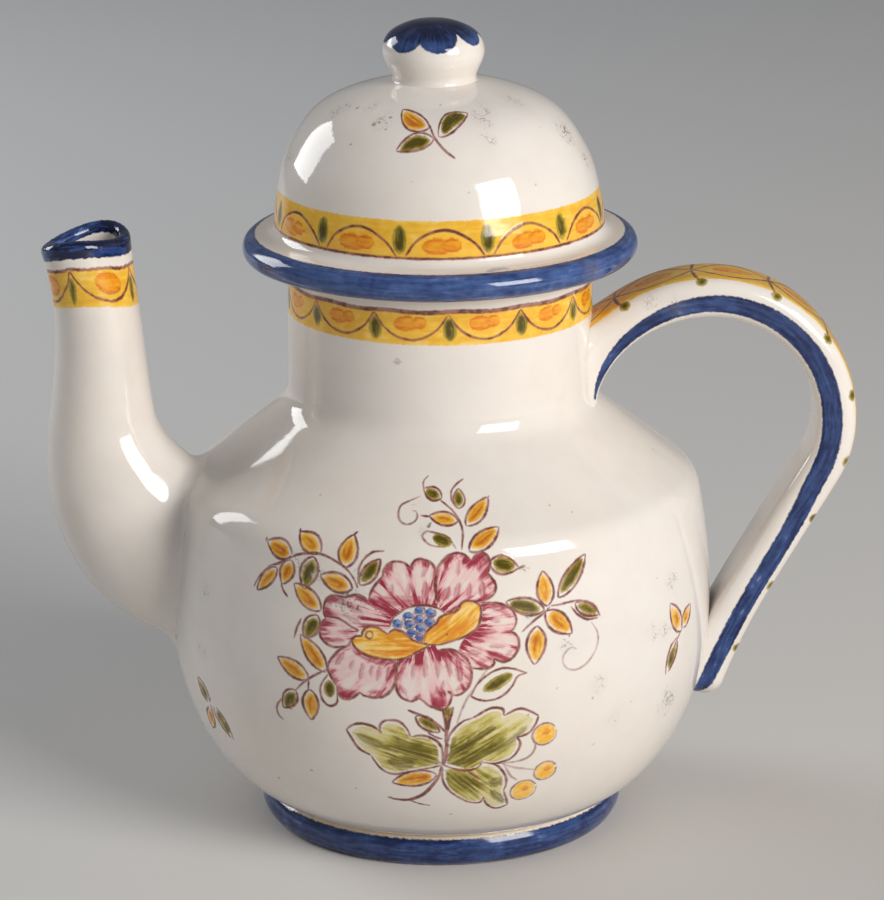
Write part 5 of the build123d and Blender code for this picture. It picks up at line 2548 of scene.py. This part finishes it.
@dataclass(frozen=True)
class HandlePainting:
    """Everything painted on the handle.

    Attributes:
        length: length of the handle's middle line.
        half_band: half width of the yellow band on the outer face.
        inset: how far the crossing lines stay inside the band.
        drops: distances along at which the lines cross and a green drop hangs on each edge.
        stripe: distance along, middle and half width of the blue stripe on each side.
    """

    length: float
    half_band: float = 5.9
    inset: float = 1.4
    drops: tuple[float, ...] = (5.5, 18.6, 32.0, 44.7, 55.9, 66.5, 77.8, 89.8, 105.3, 119.6, 133.0)
    stripe: tuple[Triple, ...] = (
        (2.0, 13.5, 0.35), (8.0, 12.9, 0.9), (18.0, 12.1, 1.25), (34.7, 10.9, 1.65),
        (55.0, 10.9, 1.85), (72.0, 11.1, 1.95), (84.0, 10.6, 1.9), (94.0, 9.7, 1.75),
        (110.0, 9.4, 1.65), (122.0, 9.5, 1.6), (129.5, 10.0, 1.3), (132.5, 11.2, 0.3),
    )

    def paint(self) -> Painting:
        """Paint the yellow band with its crossing lines, the drops and the blue stripes.

        Returns:
            The painting.
        """
        art = Painting()
        end = self.length - 5.0
        w = self.half_band
        art.fill([(-w, 1), (w, 1), (w, 1), (w, end), (w, end), (0, end + 3), (-w, end), (-w, end),
                  (-w, 1)], Tone.YELLOW_BAND, (0.0, 0.0), 90)
        y = np.linspace(2.0, end, 120)
        turns = np.interp(y, self.drops, np.arange(len(self.drops)))
        wave = (w - self.inset) * np.sin(np.pi * turns)
        for side in (-1, 1):
            art.line(list(zip(side * wave, y)), width=0.6)
        for start, stop in zip(self.drops, self.drops[1:]):
            art.disc((0.0, 0.5 * (start + stop)), (1.7, 3.3), Tone.ORANGE)
        distance, middle, half = np.array(self.stripe).T
        for side in (-1, 1):
            for v in self.drops[:-1]:
                twig = [(0.4, v - 0.3), (w - 1.5, v + 0.1), (w + 0.2, v + 0.6)]
                art.line([(side * x, y) for x, y in twig], width=0.6)
                art.disc((side * (w + 0.6), v + 1.0), (1.15, 1.05), Tone.OLIVE)
            outer, inner = side * (middle + half), side * (middle - half)
            edge = [*zip(outer, distance), *zip(inner[::-1], distance[::-1])]
            art.fill(edge, Tone.RICH_COBALT, (side * 11.0, 0.0), 90)
            art.worn += [(side * 10.0, 28.0, 3.0, 0.5), (side * 8.2, 24.0, 2.5, 0.4)]
        art.stroke([(8.0, 1.6), (10.5, 2.2), (12.0, 3.4)], 1.6, Tone.BROWN, 0.35)
        art.stroke([(9.4, 20.5), (9.0, 22.5)], 1.2, Tone.ORANGE, 0.35)
        return art


@dataclass(frozen=True)
class DomePainting:
    """Everything painted on the lid's dome and brim.

    Attributes:
        around: distance once round on its sheet.
        band: y of the yellow border's edges.
        brim: y of the blue brim's edges.
        repeats: number of arches round it.
        first: x of a leaf between two arches.
        arch: an arch's points, each as a share of the pitch and a y.
        flowers: middles of a flower's two discs, in the same way.
    """

    around: float
    band: Place = (0.15, 7.1)
    brim: Place = (-11.4, -4.3)
    repeats: int = 12
    first: float = -6.9
    arch: tuple[Place, ...] = (
        (0.06, 0.7), (0.2, 3.6), (0.42, 5.3), (0.62, 5.1), (0.84, 3.0), (0.95, 0.6),
    )
    flowers: tuple[Place, Place] = ((0.42, 2.5), (0.585, 2.7))

    def paint(self) -> Painting:
        """Paint the brim, the border, the sprig on the crown and the marks of age.

        Returns:
            The painting.
        """
        art = Painting()
        art.band(*self.band, Tone.YELLOW_BAND)
        art.band(*self.brim, Tone.COBALT)
        art.edge(0.3, 0.5 * self.around, 80, 0.55)
        self.border(art, self.around / self.repeats)
        art.leaf((-1.5, 24.7), (-10.4, 29.7), 4.6, Tone.YELLOW_LEAF, bend=0.6)
        art.leaf((0.7, 22.8), (9.8, 28.4), 4.4, Tone.OLIVE, bend=1.2)
        art.leaf((-0.4, 22.4), (-8.7, 19.7), 3.6, Tone.OLIVE, bend=-0.6)
        art.line([(-1.5, 25.6), (-0.2, 22.6), (1.7, 20.2), (3.9, 18.4)], width=0.65)
        self.age(art)
        art.stroke([(7.5, -3.6), (9.5, -2.9), (11.5, -3.1)], 1.4, Tone.BEAD, 0.6)
        return art

    def border(self, art: Painting, pitch: float) -> None:
        """Arches with a flower in each and a leaf between them, none quite like the next.

        Args:
            art: the lid's painting.
            pitch: distance from one arch to the next.
        """
        for k in range(-6, 7):
            x, turn = self.first + k * pitch, math.sin(1.7 * (k % self.repeats))
            arch = scallop(x, pitch, 0.0, self.arch)
            art.fill([*arch, arch[-1], arch[0]], Tone.AMBER, (x, 0.0), reach=14.0)
            art.line(arch, width=0.6)
            large, small = scallop(x + 0.03 * turn * pitch, pitch, 0.0, self.flowers)
            art.disc(large, (2.7, 1.55), Tone.ORANGE, 8 * turn)
            art.disc(small, (1.8, 1.35), Tone.ORANGE)
            art.bare_leaf((x, 0.3), (x + 0.1 * turn, 7.0), 2.9)

    def age(self, art: Painting) -> None:
        """Pits and scuffed places in the glaze.

        Args:
            art: the piece's painting.
        """
        for x, y, radius in (
            (-12.7, 27.1, 0.5), (-16.3, 24.8, 0.6), (-26.2, 28.3, 0.6), (-12.5, 24.0, 0.3),
            (2.0, 31.5, 0.4), (-20.0, 20.0, 0.3), (28.0, 22.0, 0.35), (6.0, 12.0, 0.25),
            (-5.0, 14.0, 0.25), (20.0, 12.0, 0.25),
        ):
            art.dot((x, y), radius, Tone.STAIN, 0.75)
        art.worn += [
            (13.0, 26.5, 4.0, 0.6), (12.0, 21.5, 3.0, 0.5), (16.5, 29.0, 3.5, 0.5),
            (37.0, 19.5, 5.0, 0.8), (39.0, 14.0, 3.5, 0.6), (-14.5, 26.0, 4.0, 0.5),
            (-32.0, 27.0, 4.5, 0.5), (25.5, -7.5, 3.0, 0.6), (-22.0, 29.5, 3.5, 0.45),
            (-40.0, 14.0, 3.0, 0.5), (30.0, 30.0, 5.0, 0.35),
        ]


@dataclass(frozen=True)
class KnobPainting:
    """The blue lobes that hang from the knob's crown. Heights are those of the solid.

    Attributes:
        around: distance once round on its sheet.
        lobes: (x, half width, height of the tip, height of the notch before it) of each lobe.
        top: height past which all is blue.
        crown: where the brush first touched.
    """

    around: float
    lobes: tuple[tuple[float, float, float, float], ...] = (
        (-21.6, 3.5, 148.8, 150.5), (-13.7, 3.7, 149.0, 150.6), (-6.2, 3.5, 148.3, 150.2),
        (1.2, 3.7, 148.5, 150.4), (9.6, 3.4, 149.1, 151.4), (17.6, 3.8, 148.7, 150.5),
        (25.6, 3.6, 148.9, 150.3),
    )
    top: float = 160.0
    crown: Place = (0.0, 153.6)

    def paint(self) -> Painting:
        """Paint the lobes, with a sharp notch between each two.

        Returns:
            The painting.
        """
        edge = []
        for turn in (-self.around, 0.0, self.around):
            for x, w, low, notch in self.lobes:
                x, corner = x + turn, (x + turn - w - 0.3, notch)
                edge += [
                    corner, corner, (x - 0.86 * w, 0.55 * notch + 0.45 * low),
                    (x - 0.4 * w, low + 0.2), (x + 0.1, low), (x + 0.5 * w, low + 0.4),
                    (x + 0.9 * w, low + 1.3),
                ]
        far = 2 * self.around
        first, *rest = (far, 150.4), (far, self.top), (-far, self.top)
        edge += [first, first, rest[0], rest[0], rest[1], rest[1], (-far, 150.4)]
        art = Painting()
        art.fill(edge, Tone.LOBE, self.crown, -90, 5.6)
        return art


@dataclass(frozen=True)
class SoftBox:
    """A rectangular soft box that faces the pot.

    Attributes:
        name: its name.
        around: where it hangs, in degrees from the front towards the handle.
        up: its height over the horizontal, in degrees.
        distance: how far from the pot, in metres.
        size: its width and height in metres.
        watts: its power.
        warm: how much its blue is lowered.
    """

    name: str
    around: float
    up: float
    distance: float
    size: Place
    watts: float
    warm: float

    def hang(self, target: Vector) -> None:
        """Hang the box in its place.

        Args:
            target: what it faces.
        """
        lamp = bpy.data.lights.new(self.name, "AREA")
        lamp.shape, lamp.size, lamp.size_y = "RECTANGLE", *self.size
        lamp.energy, lamp.color = self.watts, (1.0, 1.0 - 0.5 * self.warm, 1.0 - self.warm)
        box = bpy.data.objects.new(self.name, lamp)
        a, e = math.radians(self.around), math.radians(self.up)
        way = Vector((math.sin(a) * math.cos(e), -math.cos(a) * math.cos(e), math.sin(e)))
        box.location = target + way * self.distance
        box.rotation_euler = way.to_track_quat("Z", "Y").to_euler()
        bpy.context.scene.collection.objects.link(box)


@dataclass(frozen=True)
class Room:
    """A pale paper sweep under and behind the pot, in soft light. Sizes are in metres.

    Attributes:
        sweep: (y, z, rounding) of the paper's corners from front to back.
        half_width: half the paper's width.
        columns: points across the paper.
        paper: its colour at the left and at the right, a painted change of light from cool at the
            left to warm at the right.
        slope: how the one turns to the other: parts of x and y, and the range of their sum.
        paper_rough: roughness of the paper.
        glow: colour of the light from all round.
        glow_strength: its strength.
        boxes: the soft boxes.
        target: what they face.
    """

    sweep: tuple[Triple, ...] = ((-2.4, 0.0, 0.0), (2.7, 0.0, 0.6), (2.7, 2.6, 0.0))
    half_width: float = 2.8
    columns: int = 23
    # Painted light: a cool grey at the left and a warm grey at the right, as the lamps fall across
    # the paper.
    paper: tuple[Colour, Colour] = (tint(205, 206, 207), tint(210, 206, 200))
    slope: tuple[float, float, float, float] = (1.3, -0.55, -0.55, 0.45)
    paper_rough: float = 0.9
    glow: Colour = (0.80, 0.82, 0.86)
    glow_strength: float = 0.27
    boxes: tuple[SoftBox, ...] = (
        SoftBox("window_front", 45.0, 23.0, 1.15, (0.56, 0.52), 12.0, 0.06),
        SoftBox("window_back", -122.0, 21.0, 1.20, (0.55, 0.60), 6.4, 0.0),
    )
    target: Triple = (0.0, 0.0, 0.075)

    def build(self) -> None:
        """Lay the paper and light the room."""
        line = rounded(*self.sweep, count=24)
        across = np.linspace(-self.half_width, self.half_width, self.columns)
        verts = [(x, y, z) for y, z in line for x in across]
        first = [
            row * self.columns + k for row in range(len(line) - 1) for k in range(self.columns - 1)
        ]
        faces = [(k, k + 1, k + self.columns + 1, k + self.columns) for k in first]
        mesh = bpy.data.meshes.new("paper_sweep")
        mesh.from_pydata(verts, [], faces)
        mesh.polygons.foreach_set("use_smooth", np.ones(len(faces), bool))
        mesh.materials.append(self.dress())
        sweep = bpy.data.objects.new("paper_sweep", mesh)
        bpy.context.scene.collection.objects.link(sweep)
        self.light()

    def dress(self) -> bpy.types.Material:
        """Make the paper, whose colour changes evenly from one side to the other: painted light,
        cool at the left and warm at the right.

        Returns:
            The material.
        """
        material, graph = new_material("paper")
        x, y, _ = graph.split(graph.place())
        by_x, by_y, low, high = self.slope
        # Painted light: the paper's colour turns from cool at the left to warm at the right,
        # standing in for how the light falls across it.
        share = graph.fade(graph.scaled(x, by_x, graph.times(y, by_y)), low, high)
        colour = graph.mix(share, *self.paper)
        graph.surface({"Base Color": colour, "Roughness": self.paper_rough})
        return material

    def light(self) -> None:
        """Light the room from all round and hang the soft boxes."""
        world = bpy.data.worlds.new("room")
        world.use_nodes = True
        room = Graph(world.node_tree)
        glow = {"Color": (*self.glow, 1.0), "Strength": self.glow_strength}
        room.node("OutputWorld", {0: room.node("Background", glow).outputs[0]})
        bpy.context.scene.world = world
        for box in self.boxes:
            box.hang(Vector(self.target))


@dataclass(frozen=True)
class Camera:
    """The camera where the photograph was taken from.

    Attributes:
        place: where it stands, in metres.
        tilt: its tilt up from looking straight down, in degrees.
        roll: its turn about its own view, in degrees.
        lens: its focal length in millimetres.
        film: height of its film in millimetres.
    """

    place: Triple = (0.0003, -0.700, 0.280)
    tilt: float = 73.37
    roll: float = -0.12
    lens: float = 154.48
    film: float = 36.0

    def build(self) -> None:
        """Set the camera up."""
        lens = bpy.data.cameras.new("camera")
        lens.sensor_fit, lens.sensor_height, lens.lens = "VERTICAL", self.film, self.lens
        view = bpy.data.objects.new("camera", lens)
        turn = Matrix.Rotation(math.radians(self.tilt), 4, "X")
        turn = turn @ Matrix.Rotation(math.radians(self.roll), 4, "Z")
        view.matrix_world = Matrix.Translation(self.place) @ turn
        bpy.context.scene.collection.objects.link(view)
        bpy.context.scene.camera = view
        bpy.context.scene.view_settings.view_transform = "Standard"


def main() -> None:
    """Load the frame, make and place every piece, and build the room and the camera."""
    logging.basicConfig(level=logging.INFO, format="%(message)s")
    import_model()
    groups = TinGlaze().group(), Brushwork().group()
    looks = Looks(
        Glaze("glaze_pot").build(*groups), Glaze("glaze_lid").build(*groups),
        BareClay("bare_clay", tint(178, 128, 96)).build(),
    )
    pot = PotForm()
    built = {
        "pot": {
            **pot.build(looks), **FootForm().build(looks), **SpoutForm().build(pot, looks),
            **HandleForm().build(pot, looks),
        },
        "lid": LidForm().build(looks),
    }
    for rides, pieces in built.items():
        for node, piece in pieces.items():
            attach(piece, rides)
            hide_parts(node)
    Room().build()
    Camera().build()


if __name__ == "__main__":
    main()
